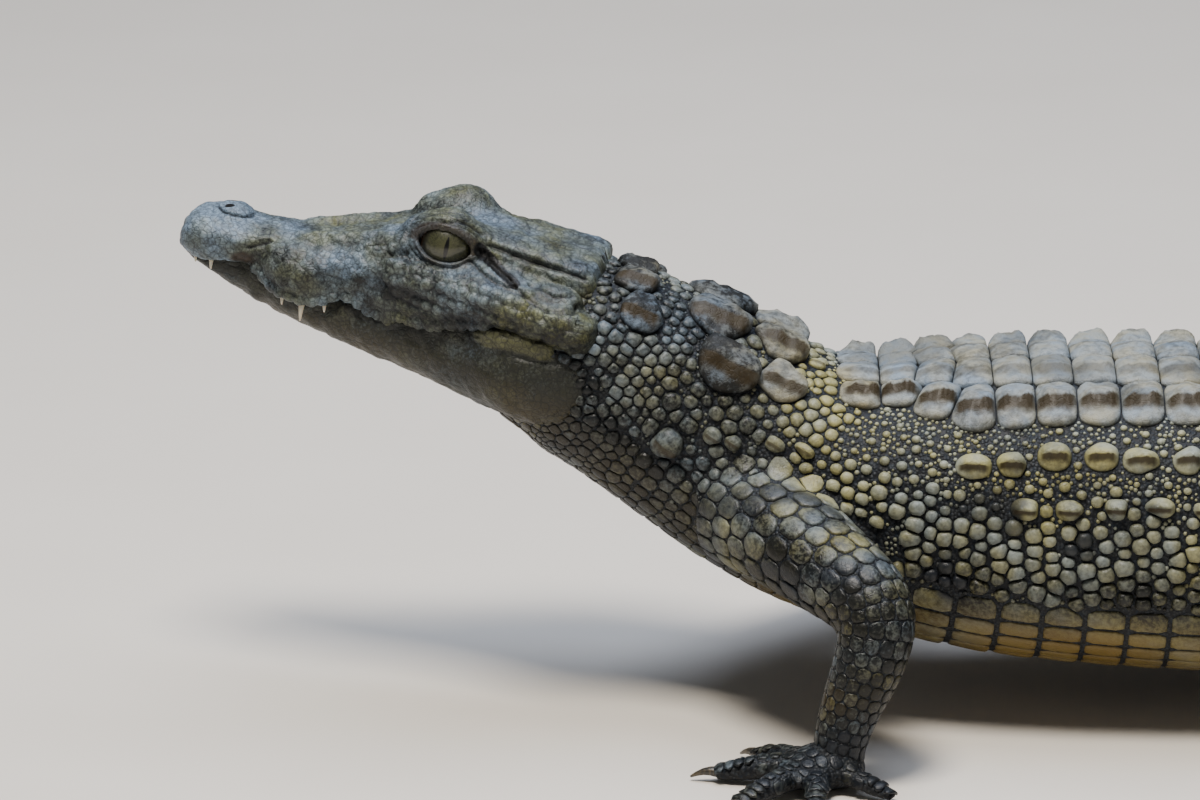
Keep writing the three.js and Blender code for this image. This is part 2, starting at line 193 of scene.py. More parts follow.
# %% Legs
# shoulder or hip to wrist or ankle: x, y, z, half width, up, down, squareness
FORE_LEFT = {
    "rows": [
        (40, -24, 63, 17, 18, 18, 0.95),
        (52, -42, 60, 14.5, 16.5, 16, 0.95),
        (63, -58, 56, 13, 14.5, 13.5, 0.95),
        (72, -69, 51.5, 12, 13, 12, 0.95),
        (75.5, -74.5, 45, 11, 12, 10.5, 0.95),
        (73.5, -77, 34, 10, 10.6, 10, 0.95),
        (69.5, -78, 23, 8.6, 9, 9, 0.95),
        (66, -79, 12, 8, 8, 8, 0.95),
    ],
    "palm": (62, -80.5, 5.6, 12, 10, 6.6),
    "toe_root": (60, -81, 5),
    "toes": [
        (43.5, -62, 3.9),
        (31.5, -77, 3.9),
        (37.5, -103, 3.9),
        (59, -107.5, 3.4),
        (81, -95, 3.2),
    ],
    "heel": None,
}
HIND_LEFT = {
    "rows": [
        (252, -18, 54, 21, 21, 19, 0.95),
        (250, -38, 53, 18.5, 19.5, 17.5, 0.95),
        (247, -56, 50, 15.5, 17, 15, 0.95),
        (245, -69, 45.5, 13, 14, 13, 0.95),
        (247, -75, 40.5, 12, 12.5, 12, 0.95),
        (256, -78.5, 32, 11.5, 11.5, 11, 0.95),
        (267, -81, 22, 8.8, 9, 8.6, 0.95),
        (274, -82.5, 12, 8, 8.4, 8, 0.95),
    ],
    "palm": (262, -86, 5.6, 15, 10, 6.4),
    "toe_root": (258, -87.5, 5),
    "toes": [
        (218.5, -84, 4.4),
        (211, -100, 4.5),
        (218, -117.5, 4.3),
        (234, -128, 3.6),
    ],
    "heel": (276.5, -83.5, 5, 7.2, 6.9, 5.7),
}
CLAWED_TOES = 3
CLAW_LENGTH = 7.5
TOE_END = 0.72
FORE_STAGGER = 31.0
HIND_STAGGER = -27.0


def other_leg(leg, stagger):
    """The right leg: mirrored, with its foot set ahead or behind."""

    def moved(row, share):
        """A row of a table, mirrored and moved by a share of the stagger."""
        x, y, *rest = row
        return (x + share * stagger, -y, *rest)

    shares = [0, 1 / 6, 1 / 3, 0.5, 0.55, 0.7, 0.85, 1]
    return {
        "rows": [moved(row, share) for row, share in zip(leg["rows"], shares)],
        "palm": moved(leg["palm"], 1),
        "toe_root": moved(leg["toe_root"], 1),
        "toes": [moved(toe, 1) for toe in leg["toes"]],
        "heel": leg["heel"] and moved(leg["heel"], 1),
    }


LEGS = {
    "foreleg_left": FORE_LEFT,
    "foreleg_right": other_leg(FORE_LEFT, FORE_STAGGER),
    "hindleg_left": HIND_LEFT,
    "hindleg_right": other_leg(HIND_LEFT, HIND_STAGGER),
}
print("legs:", *LEGS)

# %% [markdown]
# ## The head's form
# A skull is not a tube. Its form is a field: a number that is negative inside and positive outside,
# made from a few simple bodies that melt into each other. Rays that start inside the head and march
# to where the field is zero give a fine, even grid of points, with a face for every four. The field
# is right here because lids, ridges and grooves are then one line each.

# %% Head field
# back from the snout tip, half width, top, bottom, squareness
MUZZLE = [
    (0, 3.2, 7, 3, 1),
    (2.5, 8.6, 10.8, 1.4, 0.95),
    (9, 12.4, 13.2, 0.4, 0.9),
    (16, 12.4, 13.6, 1.2, 0.9),
    (23, 11.4, 13.8, 0.6, 0.9),
    (30, 13.6, 14.2, -3.0, 0.86),
    (38, 15.8, 14.8, -4.8, 0.84),
    (45, 16.6, 16.6, -3.2, 0.84),
    (51, 17.0, 18.8, -0.4, 0.84),
    (57, 18.2, 21.4, -2.4, 0.85),
    (64, 20.0, 24.0, -3.4, 0.88),
    (78, 24.4, 26, -1.6, 0.95),
    (93, 28.4, 25.6, 3.6, 1),
    (108, 30.6, 23.5, 4.5, 1),
    (121, 29, 20, 3, 1),
    (133, 24, 16, 4, 1),
]
SKULL_ROOF = [
    (80, 11.5, 29.0, 10, 0.5),
    (84, 13, 29.4, 10, 0.5),
    (92, 15.6, 29.9, 10, 0.42),
    (106, 17.2, 29.4, 10, 0.38),
    (119, 18.2, 28.6, 10, 0.38),
    (126, 18.4, 28.2, 10, 0.4),
]
JAW = [
    (3, 4.5, 2.0, -0.8, 1),
    (9, 9.0, 3, -3.0, 0.95),
    (22, 9.6, 6, -8.4, 0.95),
    (38, 13.2, 4, -12.0, 0.95),
    (56, 16.2, 5, -15.2, 0.95),
    (76, 20.4, 8, -18.0, 0.95),
    (96, 26.4, 12, -21.4, 0.95),
    (111, 29.0, 12, -23.0, 0.95),
    (122, 28.4, 11, -20, 0.95),
    (134, 22, 10, -10, 0.95),
]
print("rows of the muzzle, roof and jaw:", len(MUZZLE), len(SKULL_ROOF), len(JAW))


# %% Bodies that melt together
def section(rows):
    """A table as a function of its first column."""
    dense = smooth(rows, np.linspace(0, len(rows) - 1, 40 * len(rows)))
    return lambda x: [np.interp(x, dense[:, 0], dense[:, k]) for k in range(1, dense.shape[1])]


def tube_field(p, shape, lip=None):
    """Distance to a tube that runs back from the snout. lip is the half that is boxier, as a lip
    is (1 for the upper, -1 for the lower), and by how much."""
    width, top, bottom, square = shape(p[0])
    half = (top - bottom) / 2
    n = 2 / square
    if lip:
        n = np.where((p[2] - (top + bottom) / 2) * lip[0] > 0, 2 / (square * lip[1]), n)
    across = np.abs(p[1]) / width
    upward = np.abs(p[2] - (top + bottom) / 2) / half
    return ((across**n + upward**n) ** (1 / n) - 1) * np.minimum(width, half)


def ball_field(p, centre, sizes):
    """Distance to an ellipsoid."""
    q = sum(((p[k] - centre[k]) / sizes[k]) ** 2 for k in range(3)) ** 0.5
    return (q - 1) * min(sizes)


def bar_field(p, start, end, radius, end_radius=None):
    """Distance to a round bar between two points, which may taper."""
    a, b = np.array(start, float), np.array(end, float)
    along = b - a
    t = sum((p[k] - a[k]) * along[k] for k in range(3)) / along.dot(along)
    t = np.clip(t, 0, 1)
    gap = sum((p[k] - a[k] - t * along[k]) ** 2 for k in range(3)) ** 0.5
    return gap - (radius + t * ((end_radius or radius) - radius))


def melt(a, b, width):
    """The union of two bodies, with a fillet of about that width."""
    h = np.clip(0.5 + 0.5 * (a - b) / width, 0, 1)
    return a + (b - a) * h - width * h * (1 - h)


def carve(a, b, width):
    """Body a without body b, with a rounded edge."""
    return -melt(-a, b, width)


muzzle_at, roof_at, jaw_at = section(MUZZLE), section(SKULL_ROOF), section(JAW)
HEAD_FRONT, HEAD_END = 0.4, 127.0  # the upper head's length, with what is tucked into the neck
LID_THICKNESS = 1.15
OPENING_HALF = (0.89, 0.55)  # how far the lids part: sines of the half angles, along and up


def eye_frame(p):
    """Along, out and up from the eye's centre, in eye radii, on the axis in which it looks."""
    look = turn("X", math.radians(-9)) @ turn("Z", math.radians(-4))
    d = [(p[k] - EYE_CENTRE[k]) / EYE_RADIUS for k in range(3)]
    return [sum(look[r, k] * d[k] for k in range(3)) for r in range(3)]


# %% Upper head
def upper_head_field(x, y, z):
    """The head without its lower jaw, on the animal's right side, which the left mirrors."""
    p = (x, np.abs(y), z)
    f = tube_field(p, muzzle_at, (-1, 0.62))
    f = melt(f, ball_field(p, (8.5, 6.6, 6.6), (6.6, 5.4, 5.8)), 2.0)  # the bulbous snout tip
    f = melt(f, ball_field(p, (39, 12.2, 4.2), (10, 5.2, 6.6)), 3)  # swelling of the longest tooth
    f = melt(f, bar_field(p, (36, 7, 13.5), (60, 10.5, 20), 1.6, 2.4), 3)  # ridge along the snout
    f = melt(f, bar_field(p, (56, 11, 17.6), (66, 15.5, 21.5), 1.8, 2.4), 2)  # ridge before the eye
    f = melt(f, bar_field(p, (66, 19.2, 14), (90, 24.4, 15.5), 3.2, 3.4), 3)  # cheek below the eye
    f = melt(f, bar_field(p, (90, 24.4, 15.5), (119, 27.4, 14.0), 3.4, 4.6), 3)
    roof = tube_field(p, roof_at)
    roof = -melt(-roof, 120.8 - x, 5.0)
    roof = -melt(-roof, x - 80, 3.0)
    f = melt(f, roof, 1.4)
    f = melt(f, ball_field(p, (77, 11, 22.9), (15, 7.6, 9.6)), 2)  # the brow
    lids = ball_field(p, EYE_CENTRE, (EYE_RADIUS + LID_THICKNESS,) * 3)
    f = melt(f, lids, 1.6)
    f = carve(f, bar_field(p, (0, 0, 36.5), (98, 0, 36.5), 6.5), 3)  # hollow between the brows
    f = carve(f, bar_field(p, (92, 18.6, 24.6), (117, 20.4, 23.6), 1.1, 1.5), 1.2)  # under the roof
    f = melt(f, ball_field(p, (111, 21.6, 19.2), (7.5, 4.6, 4.0)), 1.0)  # wrinkled end of the ear flap
    f = melt(f, bar_field(p, (85, 17.2, 23.0), (92, 21.4, 20.6), 1.3, 1.6), 1.2)  # rim below the ear
    f = melt(f, bar_field(p, (92, 21.4, 20.6), (103, 25.4, 19.4), 1.6, 1.6), 1.2)
    f = carve(f, bar_field(p, (86.3, 17.2, 26.0), (90.5, 19.6, 24.0), 0.9, 1.0), 0.5)  # ear slit
    f = carve(f, bar_field(p, (90.5, 19.6, 24.0), (98.8, 24.8, 21.5), 1.0, 0.9), 0.5)
    f = carve(f, bar_field(p, (87.2, 15.8, 25.3), (91.2, 17.6, 23.2), 0.8, 0.9), 0.5)
    f = carve(f, bar_field(p, (91.2, 17.6, 23.2), (98.0, 22.6, 20.9), 0.9, 0.8), 0.5)
    nose = ball_field(p, (14.4, 0, 12.4), (6.2, 6.4, 3.8))
    f = melt(f, nose, 0.5)
    f = carve(f, bar_field(p, (11.4, 2.0, 17.2), (14.6, 3.6, 16.9), 0.85), 0.6)  # nostrils
    f = carve(f, bar_field(p, (20.5, 12.8, 1.6), (23.5, 12.8, 2.2), 2.6), 1.6)  # notch for a lower tooth
    f = carve(f, bar_field(p, (14, 13.6, 4.6), (22, 11.8, 8.6), 0.4), 1.2)  # fold behind the snout tip
    along, out, up = eye_frame(p)
    rise = np.where(up > 0, OPENING_HALF[1] * 1.02, OPENING_HALF[1] * 0.98)
    corner = np.abs(along) / OPENING_HALF[0]
    lens = np.abs(up) / (rise * np.sqrt(np.clip(1 - corner**2, 0.02, 1)))
    opening = np.maximum(lens, corner) - 1
    opening = np.where(out > 0.2, opening, 1.0) * EYE_RADIUS * 0.5
    hole = np.maximum(opening, ball_field(p, EYE_CENTRE, (EYE_RADIUS + 3.5,) * 3))
    f = -melt(-f, hole, 0.5)
    socket = ball_field(p, EYE_CENTRE, (EYE_RADIUS - 2.2,) * 3)
    f = np.minimum(f, socket)
    f = -melt(-f, x - HEAD_FRONT, 1.5)
    return -melt(-f, HEAD_END - x, 5.0)


# %% Lower jaw
def jaw_field(x, y, z):
    """The lower jaw, with the bulge of the biting muscle at its corner."""
    p = (x, np.abs(y), z)
    f = tube_field(p, jaw_at, (1, 0.6))
    f = melt(f, ball_field(p, (109, 23.0, -5.0), (14.0, 7.6, 10.5)), 4)
    f = melt(f, bar_field(p, (96, 24.8, 6.0), (111, 27.6, 6.6), 2.6, 2.4), 2.0)  # pad at its corner
    f = -melt(-f, x - 2.2, 1.5)
    return -melt(-f, 131 - x, 6.0)


print("inside the head the field is", round(float(upper_head_field(60.0, 0.0, 10.0)), 1), "mm")

# %% [markdown]
# ### From a field to a mesh
# The rays fan out over the front end, run square to the head along its length, and fan in over the
# back end, as on a capsule. So no face is stretched, even on the blunt snout.

# %% Ray grid
MARCH_STEPS = 46
MARCH_SHARE = 0.75  # of the field's value that a ray goes on, so that it doesn't overshoot


def ray_grid(field, axis_at, front, rear, step, half_angles, reach):
    """Points where rays from the head's axis leave the field, as rings by angles."""
    full = np.concatenate([half_angles, -half_angles[-2:0:-1]])
    fan = int(0.5 * math.pi * front[1] / step)
    tail = 14
    along = np.arange(front[0], rear[0], step)
    starts = np.concatenate([np.full(fan, front[0]), along, np.full(tail, rear[0])])
    lean = np.concatenate([
        np.linspace(0.02, 1, fan, endpoint=False),
        np.ones(len(along)),
        1 + np.linspace(0, 0.98, tail),
    ]) * math.pi / 2
    lean = lean[:, None]
    angle = full[None, :]
    heading = (
        -np.cos(lean) + 0 * angle,
        np.sin(lean) * np.sin(angle),
        np.sin(lean) * np.cos(angle),
    )
    origin_x = starts[:, None] + 0 * angle
    origin_z = axis_at(starts)[:, None] + 0 * angle
    far = np.full(heading[0].shape, reach)
    for _ in range(MARCH_STEPS):
        f = field(origin_x + far * heading[0], far * heading[1], origin_z + far * heading[2])
        far = np.clip(far - MARCH_SHARE * f, 0.2, reach)
    return np.stack(
        [origin_x + far * heading[0], far * heading[1], origin_z + far * heading[2]], axis=-1
    )


def grid_faces(rings, sides):
    """The quads of a tube of rings."""
    r, s = np.meshgrid(np.arange(rings - 1), np.arange(sides), indexing="ij")
    a = r * sides + s
    b = r * sides + (s + 1) % sides
    return np.stack([a, b, b + sides, a + sides], axis=-1).reshape(-1, 4)


def end_caps(rings, sides):
    """The two polygons that close a tube of rings."""
    return [list(range(sides)), list(range((rings - 1) * sides, rings * sides))[::-1]]


print("a tube of 3 rings of 4 has", len(grid_faces(3, 4)), "sides and", len(end_caps(3, 4)), "ends")


# %% Meshes and grids
def mesh_object(name, points, quads, caps=()):
    """A mesh from points in millimetres, quads or triangles, and any polygons that close it."""
    data = bpy.data.meshes.new(name)
    faces = [list(map(int, face)) for face in quads] + [list(cap) for cap in caps]
    data.from_pydata(millimetres_to_row(points).tolist(), [], faces)
    data.update()
    made = bpy.data.objects.new(name, data)
    bpy.context.scene.collection.objects.link(made)
    data.polygons.foreach_set("use_smooth", [True] * len(data.polygons))
    return made


def axis_height(shape):
    """Half way between a table's top and bottom."""
    return lambda x: (shape(x)[1] + shape(x)[2]) / 2


def ring_normals(grid):
    """Normals of a ring grid, from its neighbours."""
    along = np.gradient(grid, axis=0)
    around = np.roll(grid, -1, axis=1) - np.roll(grid, 1, axis=1)
    normal = np.cross(along, around)
    return normal / np.maximum(np.linalg.norm(normal, axis=-1, keepdims=True), 1e-9)


upper_angles = np.radians(np.concatenate([np.arange(0, 116, 1.0), np.linspace(116, 180, 13)]))
head_grid = ray_grid(
    upper_head_field, axis_height(muzzle_at), (11.0, 12.0), (119.0, 20.0), 0.42, upper_angles, 46.0
)
jaw_angles = np.radians(np.concatenate([np.linspace(0, 62, 12)[:-1], np.arange(62, 180.5, 1.0)]))
jaw_angles[-1] = math.pi
jaw_grid = ray_grid(
    jaw_field, axis_height(jaw_at), (11.0, 12.0), (121.0, 20.0), 0.5, jaw_angles, 46.0
)
print("head grid", head_grid.shape, "jaw grid", jaw_grid.shape)

# %% [markdown]
# ## The body's skin
# On the animal the hide of neck, trunk, legs and tail is one bag. Loose tubes for each are laid
# over each other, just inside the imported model, and a voxel remesh turns them into one closed
# surface. Smoothing then fills the creases where a leg joins, as muscle does.

# %% Tubes
UP, AHEAD = np.array([0.0, 0.0, 1.0]), np.array([1.0, 0.0, 0.0])


def unit(v):
    """Vectors made 1 long."""
    return v / np.maximum(np.linalg.norm(v, axis=-1, keepdims=True), 1e-12)


def tube_at(rows, t, angle, kind="body", inset=COAT):
    """Points on a tube at row numbers t and angles from its top. t and angle have one shape."""
    t = np.asarray(t, float)
    last = len(rows) - 1
    at = smooth(rows, t)
    along = smooth(rows, np.minimum(t + 0.03, last)) - smooth(rows, np.maximum(t - 0.03, 0))
    along = unit(along[..., :3])
    if kind == "body":
        across = unit(np.cross(UP, along))
        up = np.cross(along, across)
    else:
        top = AHEAD if kind == "limb" else UP
        up = unit(top - along * (along @ top)[..., None])
        across = np.cross(up, along)
    s, c = np.sin(angle), np.cos(angle)
    square = at[..., 6]
    side = np.sign(s) * np.abs(s) ** square * np.maximum(at[..., 3] - inset, 0.4)
    high = np.where(c > 0, at[..., 4], at[..., 5]) - inset
    rise = np.sign(c) * np.abs(c) ** square * np.maximum(high, 0.4)
    return at[..., :3] + side[..., None] * across + rise[..., None] * up


def tube_mesh(rows, kind, rings, sides, inset=COAT):
    """A closed tube as points and faces."""
    t, angle = np.meshgrid(
        np.linspace(0, len(rows) - 1, rings),
        2 * math.pi * np.arange(sides) / sides,
        indexing="ij",
    )
    points = tube_at(rows, t, angle, kind, inset).reshape(-1, 3)
    return points, grid_faces(rings, sides).tolist() + end_caps(rings, sides)


def ball_mesh(centre, sizes, inset=COAT):
    """An ellipsoid as points and faces."""
    rings, sides = 14, 20
    a, b = np.meshgrid(
        np.linspace(0.06, math.pi - 0.06, rings), 2 * math.pi * np.arange(sides) / sides, indexing="ij"
    )
    unit_ball = np.stack([np.sin(a) * np.cos(b), np.sin(a) * np.sin(b), np.cos(a)], -1)
    points = np.array(centre) + unit_ball.reshape(-1, 3) * (np.array(sizes) - inset)
    return points, grid_faces(rings, sides).tolist() + end_caps(rings, sides)


def toe_rows(leg, toe):
    """A toe as a tube: it arches a little and tapers to its claw."""
    x0, y0, z0 = leg["toe_root"]
    x1, y1, r = toe
    z1 = r * TOE_END - 0.27
    rows = []
    for share, lift, size in ((0, 0, 1.3), (0.4, 1.4, 1.12), (0.75, 0.8, 0.98), (1, -0.2, TOE_END)):
        z = z0 + (z1 - z0) * share + lift
        rows.append((
            x0 + (x1 - x0) * share, y0 + (y1 - y0) * share, z,
            r * size, 0.9 * r * size, 0.95 * r * size, 1,
        ))
    return rows


# %% Parts of the body
parts = [tube_mesh(SPINE, "body", 220, 72)]
for leg in LEGS.values():
    parts.append(tube_mesh(leg["rows"], "limb", 50, 32))
    parts.append(ball_mesh(leg["palm"][:3], leg["palm"][3:], 0.4))
    if leg["heel"]:
        parts.append(ball_mesh(leg["heel"][:3], leg["heel"][3:], 0.4))
    for toe in leg["toes"]:
        parts.append(tube_mesh(toe_rows(leg, toe), "toe", 24, 16, 0.25))
print("the body starts as", len(parts), "closed tubes")

# %% Merging and reading meshes
def merge(pieces):
    """Several lists of points and faces as one."""
    points, faces, start = [], [], 0
    for some, some_faces in pieces:
        points.append(some)
        faces += [[start + i for i in face] for face in some_faces]
        start += len(some)
    return np.concatenate(points), faces


def as_plain(made):
    """Turns an object's modifiers into its own mesh and removes them."""
    graph = bpy.context.evaluated_depsgraph_get()
    plain = bpy.data.meshes.new_from_object(made.evaluated_get(graph))
    made.modifiers.clear()
    made.data = plain
    return made


def vertices_of(made):
    """An object's vertices in millimetres."""
    flat = np.empty(len(made.data.vertices) * 3)
    made.data.vertices.foreach_get("co", flat)
    return flat.reshape(-1, 3) * 1000.0 - ROW_SHIFT


def move_vertices(made, points):
    """Puts an object's vertices at points in millimetres."""
    made.data.vertices.foreach_set("co", millimetres_to_row(points).ravel())
    made.data.update()


# %% Remesh and relax
VOXEL = 1.58  # mm: fine enough for a toe, and the scales carry what is finer
points, faces = merge(parts)
skin = mesh_object("skin_body", points, faces)
remesh = skin.modifiers.new("one bag", "REMESH")
remesh.mode = "VOXEL"
remesh.voxel_size = VOXEL / 1000
remesh.use_smooth_shade = True
relax = skin.modifiers.new("muscle", "SMOOTH")
relax.factor = 0.5
relax.iterations = 7
as_plain(skin)
skin_points = vertices_of(skin)
skin_points[:, 2] = np.maximum(skin_points[:, 2], 0.02)
move_vertices(skin, skin_points)
skin.data.calc_loop_triangles()
print("skin:", len(skin_points), "points,", len(skin.data.loop_triangles), "triangles")

# %% Finding the skin
corners = np.empty(len(skin.data.loop_triangles) * 3, dtype=np.int32)
skin.data.loop_triangles.foreach_get("vertices", corners)
skin_tree = BVHTree.FromPolygons(skin_points.tolist(), corners.reshape(-1, 3).tolist())


def on_skin(points):
    """The nearest points of the skin, its normals there and the distances."""
    found = [skin_tree.find_nearest(p) for p in np.asarray(points).reshape(-1, 3).tolist()]
    near = np.array([f[0][:] for f in found])
    normal = np.array([f[1][:] for f in found])
    return near, normal, np.array([f[3] for f in found])


print("a point 120 mm up is", round(float(on_skin([(100, 0, 120)])[2][0]), 1), "mm off the skin")

# %% [markdown]
# ## Where the scales sit
# Every scale is planned as a point on the skin with a direction, a length, a width and a kind.
# Rows follow the body: across the back in armour plates, down the flank in beads, over the belly
# in tiles, round the tail in whorls and along each limb. Larger scales are planned first, and a
# smaller one that would lie on top of them is dropped.

# %% Lines, shares and nearest points
def ease(x, low, high):
    """0 below low, 1 above high, and smooth between."""
    t = np.clip((np.asarray(x, float) - low) / (high - low), 0, 1)
    return t * t * (3 - 2 * t)


def run_along(points):
    """The distance run at each point of a broken line."""
    return np.concatenate([[0], np.cumsum(np.linalg.norm(np.diff(points, axis=0), axis=1))])


def at_run(wanted, run, points):
    """The points of a broken line after some distances run."""
    return np.stack([np.interp(wanted, run, points[:, k]) for k in range(3)], -1)


def search_tree(points):
    """A tree that finds the points nearest to a place."""
    tree = KDTree(len(points))
    for i, p in enumerate(points.tolist()):
        tree.insert(p, i)
    tree.balance()
    return tree


print("from 0 to 1 over 10 mm, at 2 and 5 mm:", ease([2, 5], 0, 10))


# %% A plan of scales
rng = np.random.default_rng(7)
plan = []  # one dictionary of arrays for each group of scales


def plan_scales(piece, kind, points, ahead, length, width, height, chart, wrap=3.2):
    """Plans scales at points, which lie with their length along ahead. chart is their place on an
    unrolled skin, for their map."""
    points = np.asarray(points, float).reshape(-1, 3)
    if not len(points):
        return
    near, normal, gap = on_skin(points)
    ahead = np.broadcast_to(np.asarray(ahead, float), points.shape)
    lie = unit(ahead - normal * (ahead * normal).sum(-1, keepdims=True))
    keep = gap < wrap
    size = len(points)
    plan.append({
        "piece": np.full(size, piece, dtype=object)[keep],
        "kind": np.full(size, kind, dtype=object)[keep],
        "at": near[keep],
        "normal": normal[keep],
        "lie": lie[keep],
        "length": np.broadcast_to(np.asarray(length, float), size)[keep] / 2,
        "width": np.broadcast_to(np.asarray(width, float), size)[keep] / 2,
        "height": np.broadcast_to(np.asarray(height, float), size)[keep],
        "chart": np.asarray(chart, float).reshape(-1, 2)[keep],
    })


dense_t = np.linspace(0, len(SPINE) - 1, 1200)
dense_path = smooth(SPINE, dense_t)[:, :3]
dense_s = run_along(dense_path)
dense_s += 66 - np.interp(66, dense_path[:, 0], dense_s)  # s is about x along the trunk
BODY_END = dense_s[-1]
HALF = np.linspace(0, math.pi, 145)


def half_ring(s, side):
    """A half section from the middle of the back to the middle of the belly: arcs and points."""
    t = np.interp(s, dense_s, dense_t)
    points = tube_at(SPINE, np.full(HALF.shape, t), HALF * side)
    return run_along(points), points


def body_row(s, side, arcs):
    """Points at arcs from the middle of the back, the direction to the rear, and the half girth."""
    arc, points = half_ring(s, side)
    arcs = np.asarray(arcs, float)
    found = at_run(arcs, arc, points)
    arc_behind, behind = half_ring(s + 2, side)
    rear = at_run(arcs / arc[-1] * arc_behind[-1], arc_behind, behind)
    return found, unit(rear - found), arc[-1]


def unrolled(x, across):
    """A place on the unrolled skin, 0 to 1 along the body and across it, with the back at 0.5."""
    return np.stack(np.broadcast_arrays((x + 80) / 820, 0.5 + across), -1)


def body_chart(s, side, arcs, girth):
    """The places on the unrolled skin of points at arcs from the middle of the back."""
    return unrolled(s, 0.49 * side * np.asarray(arcs) / girth)


def jitter(size, amount):
    """Random shifts of up to an amount, either way."""
    return rng.uniform(-amount, amount, size)


print("the spine is", round(float(BODY_END - dense_s[0]), 1), "mm long")

# %% [markdown]
# ### Armour plates
# Osteoderms are bony plates under horn. They lie in straight rows across the back, a pair on each
# side, each with a keel. An array would copy one plate, but these narrow to the shoulders and hips,
# so a loop plans each row. Below them stand two looser rows of keeled ovals.

# %% Back and flank ovals
def trunk_taper(s, least):
    """How wide the armour is at s: less over the shoulders and the hips than between them."""
    return np.clip((s - 55) / 40, least, 1) * np.clip((275 - s) / 60, 0.7, 1)


SHIELD_FIRST, SHIELD_LAST = 64.0, 256.0
ROW_STEP = 12.4
SHIELD_KEELS = (9.6, 27.5)  # arcs of the keels of the two plates of each side
shield_rows = np.arange(SHIELD_FIRST, SHIELD_LAST, ROW_STEP)
for s in shield_rows:
    taper = trunk_taper(s, 0.66)
    for side in (-1, 1):
        for k, keel in enumerate(SHIELD_KEELS):
            arcs = np.array([keel * taper])
            at, rear, girth = body_row(s + (0.6 if k else 0), side, arcs)
            kind = "shield" if k == 0 else "shield_outer"
            width = (18.6 if k == 0 else 16.6) * taper
            plan_scales("coat_back", kind, at, rear, 15.6, width * 1.16, 2.7 if k == 0 else 2.3,
                        body_chart(s, side, arcs, girth))
        # two rows of keeled ovals on the flank below the shield
        for low, (arc, size) in enumerate(((47.0, (11.4, 8.8)), (61.0, (9.6, 7.2)))):
            if s < 92 + 12 * low:
                continue
            arcs = np.array([arc * taper + jitter(1, 1.2)[0]])
            at, rear, girth = body_row(s + 4.5 * low + jitter(1, 1.3)[0], side, arcs)
            plan_scales(("coat_flank_left", "coat_flank_right")[side > 0], "oval", at, rear,
                        size[0] * rng.uniform(0.82, 1.05), size[1] * rng.uniform(0.85, 1.04), 2.0,
                        body_chart(s, side, arcs, girth))
print("shield and flank ovals:", sum(len(group["at"]) for group in plan))

# %% [markdown]
# ### Nape plates
# The nape has a shield of eight plates, four smaller ones between it and the head, and large single
# scales at its sides. No rule gives their places, so each is in a table.

# %% Neck plates
NUCHALS = [  # x, out, up, half length, half width, height
    (32, 8.5, 110.5, 9.5, 7.5, 4.2),
    (35.5, 20.5, 101.5, 9.5, 6.5, 5.0),
    (49, 7.4, 101.5, 7.5, 6.6, 4.0),
    (50, 19, 95, 7.2, 5.2, 3.2),
    (10.7, 7, 125, 6, 5.5, 3.4),
    (11.3, 19, 118.5, 6, 5, 3.4),
]
LONE_SCALES = [  # on the left and right of the neck and shoulder: x, out, up, length, width, height
    (19, 27.5, 83, 10.3, 10.0, 3.6),
    (31.5, 30.5, 85.5, 6.4, 5.8, 2.4),
    (37, 31.5, 84, 6.0, 5.0, 2.2),
    (48.5, 34.5, 84.5, 7.2, 4.8, 2.0),
    (56.8, 36.5, 83.5, 7.2, 4.6, 2.0),
    (58, 7.6, 93.5, 6.5, 5.0, 1.6),
    (58, 19, 90.5, 9.0, 9.0, 2.4),
]
back_of_neck = smooth(SPINE, 6.0)[:3] - smooth(SPINE, 3.0)[:3]
for x, out, up, half_length, half_width, height in NUCHALS:
    for side in (-1, 1):
        plan_scales("coat_back", "nuchal", [(x, out * side, up)], back_of_neck, 2.6 * half_length,
                    2.85 * half_width, 0.7 * height, unrolled(x, 0.003 * out * side), wrap=9)
for x, out, up, length, width, height in LONE_SCALES:
    for side in (-1, 1):
        plan_scales("coat_neck", "tubercle", [(x, out * side, up)], back_of_neck, length, width, height,
                    unrolled(x, 0.006 * out * side), wrap=9)
print("neck:", 2 * len(NUCHALS), "plates and", 2 * len(LONE_SCALES), "lone scales")

# %% [markdown]
# ### Belly, flank and neck
# The belly has square tiles in straight rows. Up the flank they turn to round beads that grow smaller
# to the back, and the neck is all beads. Beads in even rows look like chain mail, so each is moved
# and resized a little at random, with a fixed seed.

# %% Belly tiles
for s in np.arange(72, 262, 11.7):
    for side in (-1, 1):
        girth = body_row(s, side, [0])[2]
        edge = 0.60 * girth
        count = max(3, int((girth - edge) / 6.4))
        arcs = girth - (np.arange(count) + 0.5) * (girth - edge) / count
        at, rear, girth = body_row(s, side, arcs)
        plan_scales("coat_belly", "tile", at, rear, 13.4, 1.25 * (girth - edge) / count, 0.8,
                    body_chart(s, side, arcs, girth))
print("with the belly:", sum(len(group["at"]) for group in plan))

